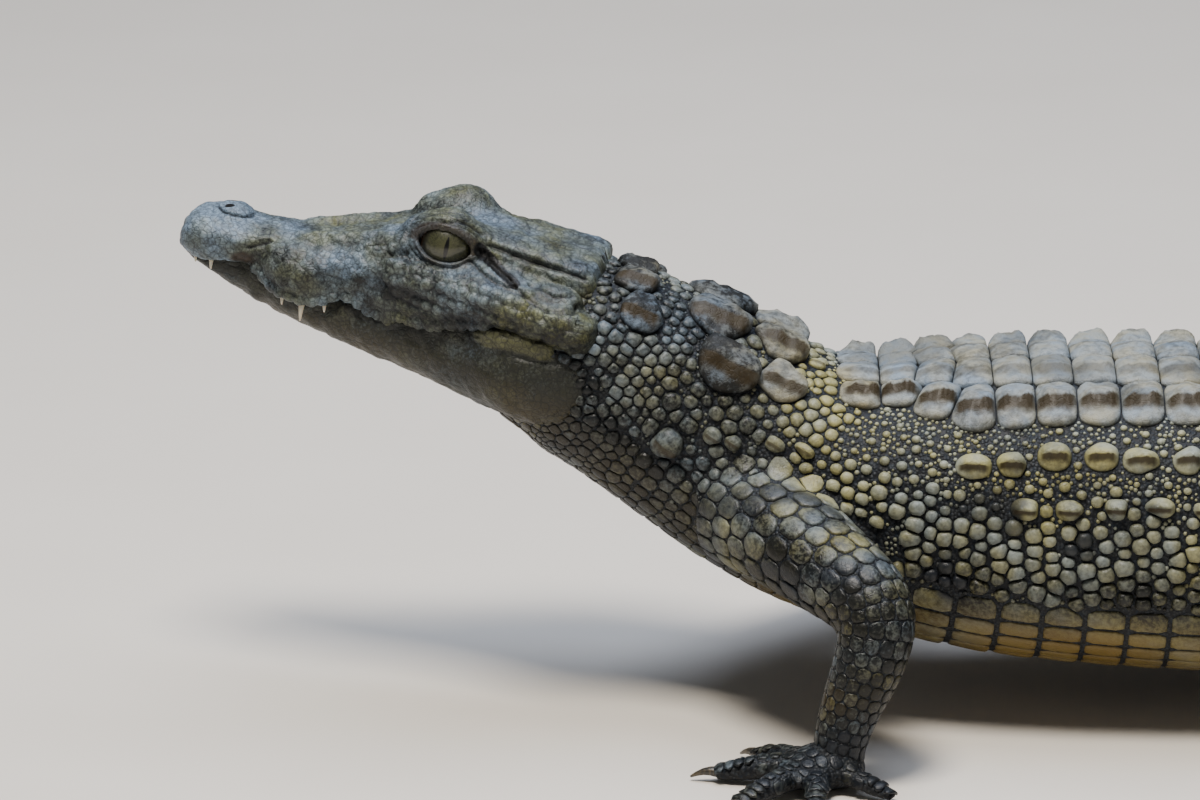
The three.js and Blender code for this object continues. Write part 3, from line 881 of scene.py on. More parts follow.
# %% Flank beads
for i, s in enumerate(np.arange(58, 268, 4.9)):
    for side in (-1, 1):
        girth = body_row(s, side, [0])[2]
        taper = trunk_taper(s, 0.62)
        start, stop = 37.5 * taper, 0.60 * girth
        arcs = np.arange(start + (i % 2) * 2.1, stop, 4.3)
        arcs = arcs + jitter(len(arcs), 0.6)
        slant = 0.12 * (arcs - start) + jitter(len(arcs), 0.9)
        rows = [body_row(s + d, side, [a]) for d, a in zip(slant, arcs)]
        at = np.array([row[0][0] for row in rows])
        rear = np.array([row[1][0] for row in rows])
        low = np.clip((arcs - start) / (stop - start), 0, 1)
        size = (2.2 + 3.3 * ease(low, 0.12, 0.8)) * rng.uniform(0.7, 1.2, len(arcs))
        plan_scales(("coat_flank_left", "coat_flank_right")[side > 0], "bead", at, rear, size * 1.08,
                    size * 0.96, 0.36 * size, body_chart(s, side, arcs, girth))
print("with the flanks:", sum(len(group["at"]) for group in plan))

# %% Neck beads
for i, s in enumerate(np.concatenate([np.arange(-31, 9, 3.4), np.arange(10, 66, 4.2)])):
    for side in (-1, 1):
        girth = body_row(s, side, [0])[2]
        pitch = 3.5 if s < 9 else 4.3
        arcs = np.arange(2.2 + (i % 2) * 0.5 * pitch, girth, pitch)
        arcs = arcs + jitter(len(arcs), 0.5)
        ahead = jitter(len(arcs), 0.7)
        rows = [body_row(s + d, side, [a]) for d, a in zip(ahead, arcs)]
        at = np.array([row[0][0] for row in rows])
        rear = np.array([row[1][0] for row in rows])
        low = arcs / girth
        size = pitch * np.where(low < 0.55, 1.25, 1.45) * rng.uniform(0.62, 1.2, len(arcs))
        size = size * (1 - 0.22 * ease(np.full(len(arcs), s), 16, 40) * (low < 0.6))
        height = np.where(low < 0.62, 0.27, 0.12) * size
        for kind, chosen in (("bead", low < 0.62), ("plate", low >= 0.62)):
            plan_scales("coat_neck", kind, at[chosen], rear[chosen], size[chosen] * 1.16,
                        size[chosen], height[chosen], body_chart(s, side, arcs[chosen], girth))
print("after the trunk and neck:", sum(len(group["at"]) for group in plan))

# %% [markdown]
# ### Tail whorls
# The tail is wrapped in rings of oblong scales that rise to the rear. The rings grow shorter as the
# tail thins, so the step to the next one is worked out from where it stands.

# %% Tail whorls
s = SHIELD_LAST + 4
whorl_places = []
while s < BODY_END - 3:
    whorl_places.append(s)
    s += 4.6 + 8.0 * (1 - (s - 260) / (BODY_END - 260)) ** 0.8
for i, s in enumerate(whorl_places):
    step = (whorl_places[i + 1] if i + 1 < len(whorl_places) else BODY_END) - s
    for side in (-1, 1):
        girth = body_row(s, side, [0])[2]
        count = max(3, int(round(girth / (0.62 * step + 1.2))))
        arcs = (np.arange(count) + 0.5) * girth / count
        at, rear, girth = body_row(s, side, arcs)
        width = 1.25 * girth / count
        low = arcs / girth
        height = np.where(low < 0.45, 0.11, 0.07) * step
        plan_scales("coat_tail", "tail", at, rear, 1.16 * step, width, height,
                    body_chart(s, side, arcs, girth))
print("the tail has", len(whorl_places), "whorls")

# %% [markdown]
# ### Limb scales
# A leg is covered in rings of soft-edged plates, larger on the upper arm and small at the wrist. At
# the elbow rings crowd on the inner side, so the next ring waits until the outer side has moved a
# full step. Each toe has one row of bands on top and a row of plates on either side.

# %% Limb scales
for name, leg in LEGS.items():
    rows = leg["rows"]
    coat = "coat_" + name
    dense = np.linspace(0, len(rows) - 1, 200)
    path = smooth(rows, dense)[:, :3]
    run = run_along(path)
    along = 6.0
    i = 0
    last_ring = None
    while along < run[-1] + 1:
        share = along / run[-1]
        step = np.interp(share, [0, 0.3, 0.5, 0.62, 0.9, 1], [5.6, 7.6, 6.8, 4.8, 3.6, 3.6])
        t = np.interp(along, run, dense)
        angles = np.linspace(0, 2 * math.pi, 73)
        ring = tube_at(rows, np.full(73, t), angles, "limb")
        if last_ring is not None:  # at a bend the rows stay close on the outer side
            shift = np.linalg.norm(ring - last_ring, axis=1)
            if 0.5 * (shift.max() + shift.mean()) < step:
                along += 0.3
                continue
        last_ring = ring
        arc = run_along(ring)
        count = max(6, int(round(arc[-1] / (step * 0.98))))
        wanted = (np.arange(count) + 0.5 * (i % 2) + jitter(count, 0.1)) / count * arc[-1]
        wanted %= arc[-1]
        at = at_run(wanted, arc, ring)
        axis = unit(smooth(rows, min(t + 0.1, len(rows) - 1))[:3] - smooth(rows, t - 0.1)[:3])
        big = np.interp(share, [0.2, 0.35, 0.55, 0.65], [0.9, 1, 1, 0.94])
        size = step * big * rng.uniform(0.92, 1.1, count)
        plan_scales(coat, "plate", at, axis, size * 1.6, size * 1.4, 0.13 * size,
            np.stack([np.full(count, 0.02 + 0.6 * share), 0.02 + 0.95 * wanted / arc[-1]], -1), 2.6)
        along += 0.3
        i += 1
    palm = np.array(leg["palm"][:3])
    for i, toe in enumerate(leg["toes"]):
        tube = toe_rows(leg, toe)
        axis = unit(np.array([toe[0], toe[1], 0.0]) - np.array([*leg["toe_root"][:2], 0.0]))
        length = math.hypot(toe[0] - leg["toe_root"][0], toe[1] - leg["toe_root"][1])
        for j, far in enumerate(np.arange(9.5, length - 0.8, 3.1)):
            t = 3 * far / length
            for k, lean in enumerate((0.0, -1.18, 1.18)):
                at = tube_at(tube, t, np.array(lean), "toe", 0.25)
                plan_scales(coat, "band" if k == 0 else "plate", [at], axis, 3.8,
                            toe[2] * (1.9 if k == 0 else 1.4), 0.55 if k == 0 else 0.4,
                            [(0.70 + 0.27 * far / 50, 0.05 + 0.18 * i + 0.05 * k)], 1.5)
    middle_toe = np.array(leg["toes"])[:, :2].mean(axis=0) - palm[:2]
    forward = unit(np.array([*middle_toe, 0.0]))
    sideways = np.cross(UP, forward)
    for j, far in enumerate(np.arange(-24, 16, 3.2)):
        for k, out in enumerate(np.arange(-14, 14.1, 4.2)):
            at = palm + far * forward + (out + 2.1 * (j % 2)) * sideways
            hit = skin_tree.ray_cast([at[0], at[1], 17.0], [0, 0, -1])
            if hit[0] is None or hit[1][2] < 0.35 or hit[0][2] < 2.5:
                continue
            plan_scales(coat, "band", [hit[0][:]], forward, 4.2, 5.2, 0.5,
                        [(0.64 + 0.001 * far, 0.3 + 0.01 * out)], 1.5)
print("planned scales:", sum(len(group["at"]) for group in plan))

# %% [markdown]
# ### Dropping overlaps
# Rows that meet, as at the shoulder, plan more scales than there is room for. On the animal the big
# ones win, so the plan is sorted by kind, and a scale is kept if it stands clear of those before it.

# %% Dropping overlaps
scales = {key: np.concatenate([group[key] for group in plan]) for key in plan[0]}
PRIORITY = {"nuchal": 0, "tubercle": 1, "shield": 2, "shield_outer": 2, "oval": 3, "tile": 4,
            "tail": 4, "plate": 5, "band": 5, "bead": 6}
rank = np.array([PRIORITY[kind] for kind in scales["kind"]])
order = np.lexsort((np.arange(len(rank)), rank))
scales = {key: value[order] for key, value in scales.items()}
at = scales["at"]
total = len(at)
tree = search_tree(at)
kept = np.zeros(total, bool)
TILED = {"shield", "shield_outer", "tile", "tail"}  # kinds that are planned edge to edge
SEARCH_BEYOND = 10.5  # mm past a scale's own half size in which others are looked for
# Kinds that press on their neighbours: only this part of their size has to be free.
CLOSE = {"plate": 0.5, "bead": 0.68, "band": 0.6, "nuchal": 0.8, "oval": 0.9}
for i in range(total):
    free = True
    around = max(scales["length"][i], scales["width"][i]) + SEARCH_BEYOND
    mine = CLOSE.get(scales["kind"][i], 1.0)
    for _, j, _ in tree.find_range(at[i].tolist(), around):
        if j >= i or not kept[j]:
            continue
        if scales["kind"][i] in TILED and scales["kind"][j] == scales["kind"][i]:
            continue
        theirs = CLOSE.get(scales["kind"][j], 1.0)
        way = at[i] - at[j]
        forward = (way * scales["lie"][j]).sum() / (theirs * scales["length"][j])
        beside = np.cross(scales["normal"][j], scales["lie"][j])
        aside = (way * beside).sum() / (theirs * scales["width"][j])
        room = 0.5 * mine * min(scales["length"][i], scales["width"][i])
        n = 4 if scales["kind"][j] in TILED else 2
        inside = (abs(forward) ** n + abs(aside) ** n) ** (1 / n)
        own = 1 + room / (theirs * min(scales["length"][j], scales["width"][j]))
        if inside < own:
            free = False
            break
    kept[i] = free
scales = {key: value[kept] for key, value in scales.items()}
total = len(scales["at"])
print("scales kept:", total, "of", len(kept))

# %% [markdown]
# ## The scales' outlines
# Neighbouring scales share their borders: each grows until it meets the next, which is what makes
# a crocodile's hide look like paving. So an outline starts as a rounded rectangle or an oval, and is
# pulled in to the line halfway to each neighbour, weighted by size. A small gap is left for skin.

# %% Outlines
# sides, squareness (2 is oval), gap mm, keel height, how much it rises to the rear, levels (share of
# the radius, share of the height)
DOME = ((0.96, 0.32), (0.80, 0.70), (0.48, 0.94))
SLAB = ((0.96, 0.45), (0.84, 0.84), (0.5, 0.98))
CREST = ((0.985, 0.5), (0.94, 0.84), (0.82, 0.96), (0.64, 1), (0.44, 1), (0.22, 1))
STYLES = {
    "shield": (40, 6.0, 0.07, 0.9, -0.75, CREST),
    "shield_outer": (40, 5.0, 0.2, 2.9, -0.7, CREST),
    "nuchal": (40, 4.4, 0.22, 2.6, 0.1, CREST),
    "tubercle": (24, 2.3, 0.5, 0.6, 0.1, ((0.96, 0.35), (0.84, 0.7), (0.62, 0.9), (0.32, 1))),
    "oval": (28, 2.2, 0.4, 2.3, 0.0, ((0.97, 0.3), (0.88, 0.6), (0.68, 0.85), (0.4, 1), (0.2, 1))),
    "tile": (16, 5.0, 0.8, 0.0, 0.45, SLAB),
    "tail": (16, 5.0, 0.35, 0.6, 0.4, SLAB),
    "plate": (12, 3.4, 0.2, 0.0, 0.15, SLAB),
    "band": (12, 4.0, 0.25, 0.0, 0.3, SLAB),
    "bead": (12, 2.1, 0.26, 0.0, 0.0, DOME),
}
# how strongly each kind is brown below its keel, with painted shade over the brown
BELOW_KEEL_SHADE = {"shield": 0.45, "shield_outer": 1.0, "nuchal": 0.9, "tubercle": 0.7, "oval": 0.95}
NEIGHBOURS = 22  # the nearest scales that an outline is checked against
ROOT_DEPTH = 0.5  # mm that a scale's wall reaches into the skin


def edge_radius(length, width, n, angle):
    """Radius of a rounded rectangle in a direction."""
    c = np.abs(np.cos(angle)) / length
    s = np.abs(np.sin(angle)) / width
    return (c**n + s**n) ** (-1 / n)


print("corner of a square plate and of a round one:",
      [round(float(edge_radius(1, 1, n, math.pi / 4)), 2) for n in (6, 2)])


# %% Borders between neighbours
tree = search_tree(scales["at"])
near = np.array([
    [j for _, j, _ in tree.find_n(p, NEIGHBOURS + 1)][1:] for p in scales["at"].tolist()
])
scales["beside"] = np.cross(scales["normal"], scales["lie"])
squareness = np.array([STYLES[kind][1] for kind in scales["kind"]])


def outline(chosen, sides, gap):
    """Outline radii of the chosen scales at evenly spaced angles from their lie."""
    angle = 2 * math.pi * np.arange(sides) / sides
    length, width = scales["length"][chosen], scales["width"][chosen]
    n = np.repeat(squareness[chosen][:, None], sides, axis=1)
    if scales["kind"][chosen[0]] == "shield_outer":  # its lower edge is a half circle
        lower = np.sign(-scales["beside"][chosen][:, 2:3]) * np.sin(angle)[None, :] > 0
        n = np.where(lower, 2.2, n)
    radius = edge_radius(length[:, None], width[:, None], n, angle[None, :])
    other = near[chosen]
    way = scales["at"][other] - scales["at"][chosen][:, None]
    forward = (way * scales["lie"][chosen][:, None]).sum(-1)
    aside = (way * scales["beside"][chosen][:, None]).sum(-1)
    apart = np.hypot(forward, aside)
    towards = np.arctan2(aside, forward)
    own = edge_radius(length[:, None], width[:, None], squareness[chosen][:, None], towards)
    back_forward = -(way * scales["lie"][other]).sum(-1)
    back_aside = -(way * scales["beside"][other]).sum(-1)
    theirs = edge_radius(
        scales["length"][other], scales["width"][other], squareness[other],
        np.arctan2(back_aside, back_forward),
    )
    border = apart * own / (own + theirs)
    facing = np.cos(angle[None, None, :] - towards[:, :, None])
    limit = np.where(facing > 0.12, border[:, :, None] / np.maximum(facing, 0.12), 1e3)
    power = 14.0
    inverse = radius ** (-power) + (limit ** (-power)).sum(axis=1)
    return np.maximum(inverse ** (-1 / power) - gap / 2, 0.35), angle


print("each scale is checked against", near.shape[1], "others")

# %% [markdown]
# ## Markings
# A wild crocodile is blotched: dark bars on the tail, patches on the flank, a pale belly. A painted
# picture would need a map without seams. One rule for any point of the body is simpler, and lets a
# blotch run across many scales. It gives shares: how warm, light, ochre and dark the place is, where
# light also holds painted shade under the body, on the neck and down the legs. The materials turn
# them into colours. The skin between the scales is left dark as painted shade, and needs no shares.

# %% Markings
def mottle(points, size, seed):
    """Soft random patches of about that size in mm, of spread 1: waves in many directions."""
    waves = np.random.default_rng(seed)
    value = 0.0
    for _ in range(14):
        direction = waves.normal(size=3)
        direction *= math.pi / size * waves.uniform(0.6, 1.3) / np.linalg.norm(direction)
        value = value + np.cos(points @ direction + waves.uniform(0, 6.3))
    return value / math.sqrt(7)


spine_table = smooth(SPINE, dense_t)


def markings(points):
    """warm, light, ochre and dark for points on the body; light also holds painted shade."""
    x, y, z = points.T
    centre_y = np.interp(x, spine_table[:, 0], spine_table[:, 1])
    centre_z = np.interp(x, spine_table[:, 0], spine_table[:, 2])
    half = np.interp(x, spine_table[:, 0], spine_table[:, 3])
    high = np.interp(x, spine_table[:, 0], spine_table[:, 4])
    deep = np.interp(x, spine_table[:, 0], spine_table[:, 5])
    rise = z - centre_z
    low = 0.5 - 0.5 * rise / np.where(rise > 0, high, deep)  # 0 on the back, 1 under the belly
    aside = np.abs(y - centre_y)
    limb = ease(aside - half, 1.0, 7.0) * ease(330 - x, 0, 20)
    limb = np.maximum(limb, ease(12 - z, 0, 6) * ease(300 - x, 0, 5))
    neck = ease(58 - x, 0, 26)
    tail = ease(x, 262, 300)
    shoulder = np.exp(-(((x - 56) / 17) ** 2) - ((z - 80) / 17) ** 2)
    stretched = points * (1.0, 1.0, 0.45)

    patch = mottle(stretched, 26, 3) + 0.5 * mottle(points, 9, 4)
    bars = np.cos(2 * math.pi * (x - 300) / 47) + 0.7 * mottle(points, 24, 5)
    dark = ease(patch, 0.85, 1.2)
    dark = dark * (1 - tail) + tail * ease(bars, 0.55, 1.15) * ease(0.93 - low, 0, 0.2)
    spread_back = ease(0.34 - low, 0, 0.12) * (1 - tail)
    dark = dark * (1 - 0.6 * neck) * (1 - 0.8 * shoulder) * (1 - 0.55 * limb) * (1 - 0.6 * spread_back)
    dark = np.maximum(dark, limb * 0.75 * ease(mottle(points, 14, 6), 0.8, 1.4))

    belly = ease(low, 0.66, 0.84) * (1 - limb)
    back = ease(0.27 - low, 0, 0.12) * (1 - neck)
    warm = 0.7 + 0.15 * mottle(points, 18, 8)
    warm = warm * (1 - neck) + neck * (0.34 + 0.2 * mottle(points, 16, 12))
    warm = warm + 0.3 * shoulder - 0.1 * back
    limb_warm = 0.56 - 0.36 * ease(26 - z, 0, 16) + 0.2 * mottle(points, 11, 14)
    warm = warm * (1 - limb) + limb * limb_warm
    light = 0.72 + 0.10 * mottle(points, 12, 9)
    nape = np.exp(-(((x - 50) / 11) ** 2)) * ease(0.4 - low, 0, 0.15)
    light = light - 0.36 * nape
    # neck dark: partly its slate colour, partly painted shade, more of it towards the throat
    neck_light = 0.18 + 0.12 * mottle(points, 9, 11) - 0.22 * ease(low, 0.42, 0.75)
    light = light * (1 - neck) + neck * neck_light
    # legs darker towards the feet, partly their own slate colour and partly painted shade
    limb_light = 0.33 - 0.26 * ease(56 - z, 0, 20) + 0.12 * mottle(points, 7, 13)
    light = light * (1 - limb) + limb * limb_light
    # darker low on the flank and belly: painted shade of the underside
    light = light + 0.12 * back - 0.42 * ease(low, 0.4, 0.62) * (1 - neck)
    ochre = belly * (0.7 + 0.15 * mottle(points, 20, 10)) * (1 - 0.92 * neck)
    ochre = np.maximum(ochre, 0.55 * limb * ease(low, 0.9, 1.2) * ease(z, 18, 34))
    return [np.clip(v, 0, 1) for v in (warm, light, ochre, dark)]


at_shoulder = markings(np.array([[56.0, 35.0, 80.0]]))
print("warm, light, ochre and dark at a shoulder:", [round(float(v[0]), 2) for v in at_shoulder])

# %% [markdown]
# ## Scales as solids
# A scale is a low dome, slab or keeled plate with a wall that goes into the skin. Geometry Nodes
# could place a dozen shapes on points, but each outline here is its own, pressed in by neighbours.
# So every kind is built at once as arrays: rings from the outline up to an apex. For baking, each
# scale has a small disc of its own on the unrolled skin.

# %% Meshes from arrays
def fast_mesh(name, points, loops, sizes):
    """A mesh from points, the corners of all faces one after another, and each face's corners."""
    data = bpy.data.meshes.new(name)
    data.vertices.add(len(points))
    data.vertices.foreach_set("co", millimetres_to_row(points).ravel())
    data.loops.add(len(loops))
    data.loops.foreach_set("vertex_index", np.asarray(loops, dtype=np.int32))
    data.polygons.add(len(sizes))
    starts = np.concatenate([[0], np.cumsum(sizes)[:-1]]).astype(np.int32)
    data.polygons.foreach_set("loop_start", starts)
    data.update(calc_edges=True)
    data.validate()
    data.polygons.foreach_set("use_smooth", np.ones(len(sizes), dtype=bool))
    made = bpy.data.objects.new(name, data)
    bpy.context.scene.collection.objects.link(made)
    return made


def set_share(made, name, values):
    """Stores a number for each vertex, which materials read by its name."""
    made.data.attributes.new(name, "FLOAT", "POINT")
    made.data.attributes[name].data.foreach_set("value", np.asarray(values, dtype=np.float32))


def mark(made, points):
    """Stores the markings at a place for each vertex."""
    for name, values in zip(("warm", "light", "ochre", "dark"), markings(points)):
        set_share(made, name, values)


def set_map(made, spots, loops):
    """Gives a mesh its map for baking, from a spot for each vertex and the vertices of its corners."""
    layer = made.data.uv_layers.new(name="OFBake")
    layer.data.foreach_set("uv", spots[loops].astype(np.float32).ravel())


# %% The shape of a scale
def stack_faces(sides, levels):
    """Faces of one scale: a wall and a crown of rings, an apex, and a closed root."""
    faces = []
    for ring in range(levels - 1):
        for k in range(sides):
            a, b = ring * sides + k, ring * sides + (k + 1) % sides
            faces.append([a, b, b + sides, a + sides])
    top = (levels - 1) * sides
    apex = levels * sides
    for k in range(sides):
        faces.append([top + k, top + (k + 1) % sides, apex])
    faces.append(list(range(sides))[::-1])
    return faces


def scale_shapes(chosen, kind):
    """Points, shares and map places for all chosen scales of one kind."""
    sides, _, gap, keel, rear, crown = STYLES[kind]
    radii, angle = outline(chosen, sides, gap)
    at, normal = scales["at"][chosen], scales["normal"][chosen]
    lie, beside = scales["lie"][chosen], scales["beside"][chosen]
    length, width = scales["length"][chosen], scales["width"][chosen]
    height = scales["height"][chosen]
    fit = np.minimum(1, radii.mean(axis=1) / np.sqrt(length * width) + 0.12)
    height = height * fit
    forward, aside = radii * np.cos(angle), radii * np.sin(angle)
    rim = at[:, None] + forward[..., None] * lie[:, None] + aside[..., None] * beside[:, None]
    found, rim_normal, _ = on_skin(rim)
    found, rim_normal = found.reshape(rim.shape), rim_normal.reshape(rim.shape)
    drop = np.clip(((found - rim) * normal[:, None]).sum(-1), -0.5 * radii, 0.3 * radii)
    facing = (rim_normal * normal[:, None]).sum(-1, keepdims=True)
    rim_normal = np.where(facing > 0.2, rim_normal, normal[:, None])
    levels = [(1.0, None), *crown, (0.0, 1.0)]
    points, shares, spots = [], [], []
    random = rng.uniform(-1, 1, len(at))
    down = np.where(beside[:, 2] < 0, 1.0, -1.0)
    for share, lift in levels:
        count = sides if share > 0 else 1
        f, a = share * forward[:, :count], share * aside[:, :count]
        if keel:  # the rings close above the keel, so that their lower sides follow it
            a = a - (1 - share) * 0.35 * (down * width)[:, None]
        u, v = f / length[:, None], a / width[:, None]
        if lift is None:
            z = np.full(f.shape, -ROOT_DEPTH)
            lift = 0.0
        else:
            slope = 1 - rear + rear * ease(u, -1.0, 0.9) if rear > 0 else 1 + rear * u**2
            edge = 0.35 + 0.65 * lift
            if keel:
                slope = slope * (1 + 0.22 * u)
            z = height[:, None] * lift * slope
            steep, gentle = (np.exp(-((v / wide) ** 2)) for wide in (0.16, 0.42))
            ridge = np.where(down[:, None] * v > 0, steep, gentle)
            ridge = ridge * ease(0.95 - np.abs(u - 0.1), 0, 0.6) * edge
            z = z + keel * fit[:, None] * ridge * (height[:, None] / height.max()) * (share < 0.95)
        here = normal[:, None] * (1 - share) + rim_normal[:, :count] * share
        spot = at[:, None] + f[..., None] * lie[:, None] + a[..., None] * beside[:, None]
        if keel and lift:  # old armour is lumpy
            z = z + lift * (0.12 + 0.04 * keel) * mottle(spot, 2.8, 41)
        spot = spot + (share**2 * drop[:, :count])[..., None] * normal[:, None]
        spot = spot + z[..., None] * unit(here)
        points.append(spot)
        shares.append(np.stack([
            np.full(f.shape, lift), np.full(f.shape, BELOW_KEEL_SHADE.get(kind, 0.0)),
            np.broadcast_to(random[:, None], f.shape), u, down[:, None] * v,
        ], -1))
        wide = 1.1 if lift == 0 else share
        spots.append(0.00135 * wide * np.stack(
            [np.broadcast_to(np.cos(angle[:count]), f.shape),
             np.broadcast_to(np.sin(angle[:count]), f.shape)], -1) * (share > 0))
    return (np.concatenate(points, 1), np.concatenate(shares, 1), np.concatenate(spots, 1))


print("faces of a bead and of a shield:", len(stack_faces(12, 4)), len(stack_faces(40, 7)))


# %% Coat pieces
def coat_piece(name):
    """One piece of the coat: all its scales, with their shares and their map."""
    all_points, all_shares, all_maps, all_roots, loops, sizes = [], [], [], [], [], []
    start = 0
    mine = scales["piece"] == name
    for kind in STYLES:
        chosen = np.flatnonzero(mine & (scales["kind"] == kind))
        if not len(chosen):
            continue
        points, shares, spots = scale_shapes(chosen, kind)
        sides, levels = STYLES[kind][0], len(STYLES[kind][5]) + 1
        per = points.shape[1]
        faces = stack_faces(sides, levels)
        flat = np.concatenate([np.array(face) for face in faces])
        size = np.array([len(face) for face in faces])
        offset = start + per * np.arange(len(chosen))
        loops.append((flat[None, :] + offset[:, None]).ravel())
        sizes.append(np.tile(size, len(chosen)))
        chart = scales["chart"][chosen]
        all_maps.append((chart[:, None] + spots).reshape(-1, 2))
        all_points.append(points.reshape(-1, 3))
        all_shares.append(shares.reshape(-1, 5))
        large = scales["length"][chosen][:, None] > 3.6  # marked across, and smaller ones as a whole
        roots = np.where(large[..., None], points, scales["at"][chosen][:, None])
        all_roots.append(roots.reshape(-1, 3))
        start += per * len(chosen)
    points = np.concatenate(all_points)
    points[:, 2] = np.maximum(points[:, 2], 0.0)
    loops, sizes = np.concatenate(loops), np.concatenate(sizes)
    made = fast_mesh(name, points, loops, sizes)
    shares = np.concatenate(all_shares)
    for column, share in enumerate(("lift", "under", "own", "rearward", "downward")):
        set_share(made, share, shares[:, column])
    mark(made, np.concatenate(all_roots))
    set_map(made, np.clip(np.concatenate(all_maps), 0.001, 0.999), loops)
    made.data.calc_loop_triangles()
    print(name, "has", int(mine.sum()), "scales,", len(made.data.loop_triangles), "triangles")
    return made


coat_names = sorted(set(scales["piece"]))
coat = [coat_piece(name) for name in coat_names]

# %% [markdown]
# ## The tail's crest
# Two rows of upright scutes run down the tail, draw together and go on as one. Each is a thin fin
# that leans back. One fin is built from a few rings, and Geometry Nodes could place it, but its
# length, height and spacing all change along the tail, so each is built in its place.

# %% Crest
DOUBLE_ROWS, SINGLE_ROWS = 16, 17
FIN_RINGS = ((-0.25, 0.0, 1.0, 1.0), (0.0, 0.0, 1.0, 1.0), (0.3, 0.13, 0.86, 0.8),
             (0.62, 0.3, 0.62, 0.55), (0.88, 0.47, 0.34, 0.32))
FIN_SIDES = 12
total_rows = DOUBLE_ROWS + SINGLE_ROWS
fin_points, fin_loops, fin_sizes, fin_maps, fin_shares = [], [], [], [], []
fin_faces = stack_faces(FIN_SIDES, len(FIN_RINGS))
start = 0
for i in range(total_rows):
    t = TORSO_LAST + (i + 0.6) / (total_rows + 0.6) * len(TAIL_PATH)
    x, y, z, half, high = smooth(SPINE, t)[:5]
    along = unit(smooth(SPINE, min(t + 0.2, len(SPINE) - 1))[:3] - np.array([x, y, z]))
    across = unit(np.cross(UP, along))
    upward = np.cross(along, across)
    share = i / (total_rows - 1)
    height = 2.2 + 5.6 * math.sin(math.pi * min(1, 0.12 + share * 0.95)) ** 0.8
    length = 12.2 * (1 - 0.42 * share)
    apart = half * 0.5 * (1 - i / DOUBLE_ROWS) ** 0.7 if i < DOUBLE_ROWS else 0
    for side in (-1, 1) if apart > 1.5 else (0,):
        root = np.array([x, y, z]) + side * apart * across + (high - 1.6) * upward
        wobble = rng.uniform(-0.12, 0.12, 3)
        angle = 2 * math.pi * np.arange(FIN_SIDES) / FIN_SIDES
        for ring, (up_share, back_share, long_share, thick_share) in enumerate(FIN_RINGS):
            bow = 1 - 0.5 * np.abs(np.cos(angle)) ** 3
            fin_points.append(
                root
                + (length * (0.06 + (0.62 + wobble[0]) * back_share)) * along
                + (length * 0.5 * long_share * np.cos(angle))[:, None] * along
                + (1.35 * thick_share * bow * np.sin(angle))[:, None] * across
                + (1.5 + (height + wobble[1] * 3) * up_share) * upward
            )
            spot = 0.0014 * (1.1 - up_share)
            fin_maps.append(np.stack([
                (i + 0.5) / total_rows + spot * np.cos(angle),
                0.5 + 0.3 * side + spot * np.sin(angle)], -1))
            fin_shares.append(np.full(FIN_SIDES, max(0.0, up_share)))
        fin_points.append((root + length * (0.06 + 0.62 * 0.56) * along + (1.5 + height) * upward)[None])
        fin_maps.append(np.array([[(i + 0.5) / total_rows, 0.5 + 0.3 * side]]))
        fin_shares.append(np.ones(1))
        fin_loops.append(np.concatenate([np.array(face) for face in fin_faces]) + start)
        fin_sizes.append(np.array([len(face) for face in fin_faces]))
        start += FIN_SIDES * len(FIN_RINGS) + 1
fin_points = np.concatenate(fin_points)
fin_loops = np.concatenate(fin_loops)
crest = fast_mesh("crest", fin_points, fin_loops, np.concatenate(fin_sizes))
set_share(crest, "lift", np.concatenate(fin_shares) * 0.8 + 0.2)
set_share(crest, "own", 0.5 * mottle(fin_points, 7, 12))
mark(crest, fin_points * (1, 1, 0.9))
set_map(crest, np.concatenate(fin_maps), fin_loops)
print("crest:", len(crest.data.polygons), "faces")

# %% [markdown]
# ## Granules
# Between the larger scales of neck, shoulder and flank the hide is full of tiny beads. They follow
# no rows, so Geometry Nodes scatter them: points on the skin at least a bead apart, a small dome on
# each, turned to the skin. Only the places with room get any, which the skin stores as a share.

# %% Room between the scales
skin_at = vertices_of(skin)
skin_normals = np.empty(len(skin_at) * 3)
skin.data.vertices.foreach_get("normal", skin_normals)
skin_normals = skin_normals.reshape(-1, 3)
room = np.zeros(len(skin_at))
spine_y = np.interp(skin_at[:, 0], spine_table[:, 0], spine_table[:, 1])
spine_z = np.interp(skin_at[:, 0], spine_table[:, 0], spine_table[:, 2])
spine_half = np.interp(skin_at[:, 0], spine_table[:, 0], spine_table[:, 3])
candidate = (skin_at[:, 0] > -24) & (skin_at[:, 0] < 268)
candidate &= (np.abs(skin_at[:, 1]) < spine_half + 12) & (skin_at[:, 2] > 34)
for i in np.flatnonzero(candidate):
    best = 9.0
    for _, j, _ in tree.find_n(skin_at[i].tolist(), 4):
        way = skin_at[i] - scales["at"][j]
        forward = abs(way @ scales["lie"][j]) / scales["length"][j]
        aside = abs(way @ scales["beside"][j]) / scales["width"][j]
        n = squareness[j]
        inside = (forward**n + aside**n) ** (1 / n)
        best = min(best, (inside - 1) * min(scales["length"][j], scales["width"][j]))
    room[i] = best
room = ease(room, 0.15, 0.55) * candidate
angle_down = np.arctan2(np.abs(skin_at[:, 1] - spine_y), skin_at[:, 2] - spine_z) / math.pi
side_sign = np.sign(skin_at[:, 1] - spine_y)
chart = unrolled(skin_at[:, 0], 0.49 * side_sign * angle_down)
set_share(skin, "room", room)
skin.data.attributes.new("unrolled", "FLOAT_VECTOR", "POINT")
skin.data.attributes["unrolled"].data.foreach_set(
    "vector", np.concatenate([chart, np.zeros((len(chart), 1))], 1).astype(np.float32).ravel()
)
print("skin with room for granules:", round(float((room > 0.5).mean()), 3))

# %% [markdown]
# ### The node tree that scatters them
# A node group is like a small machine with labelled inputs. Here they are the spacing, the bead's
# radius, the seed and the finish. One helper adds every node, there and in the materials below.

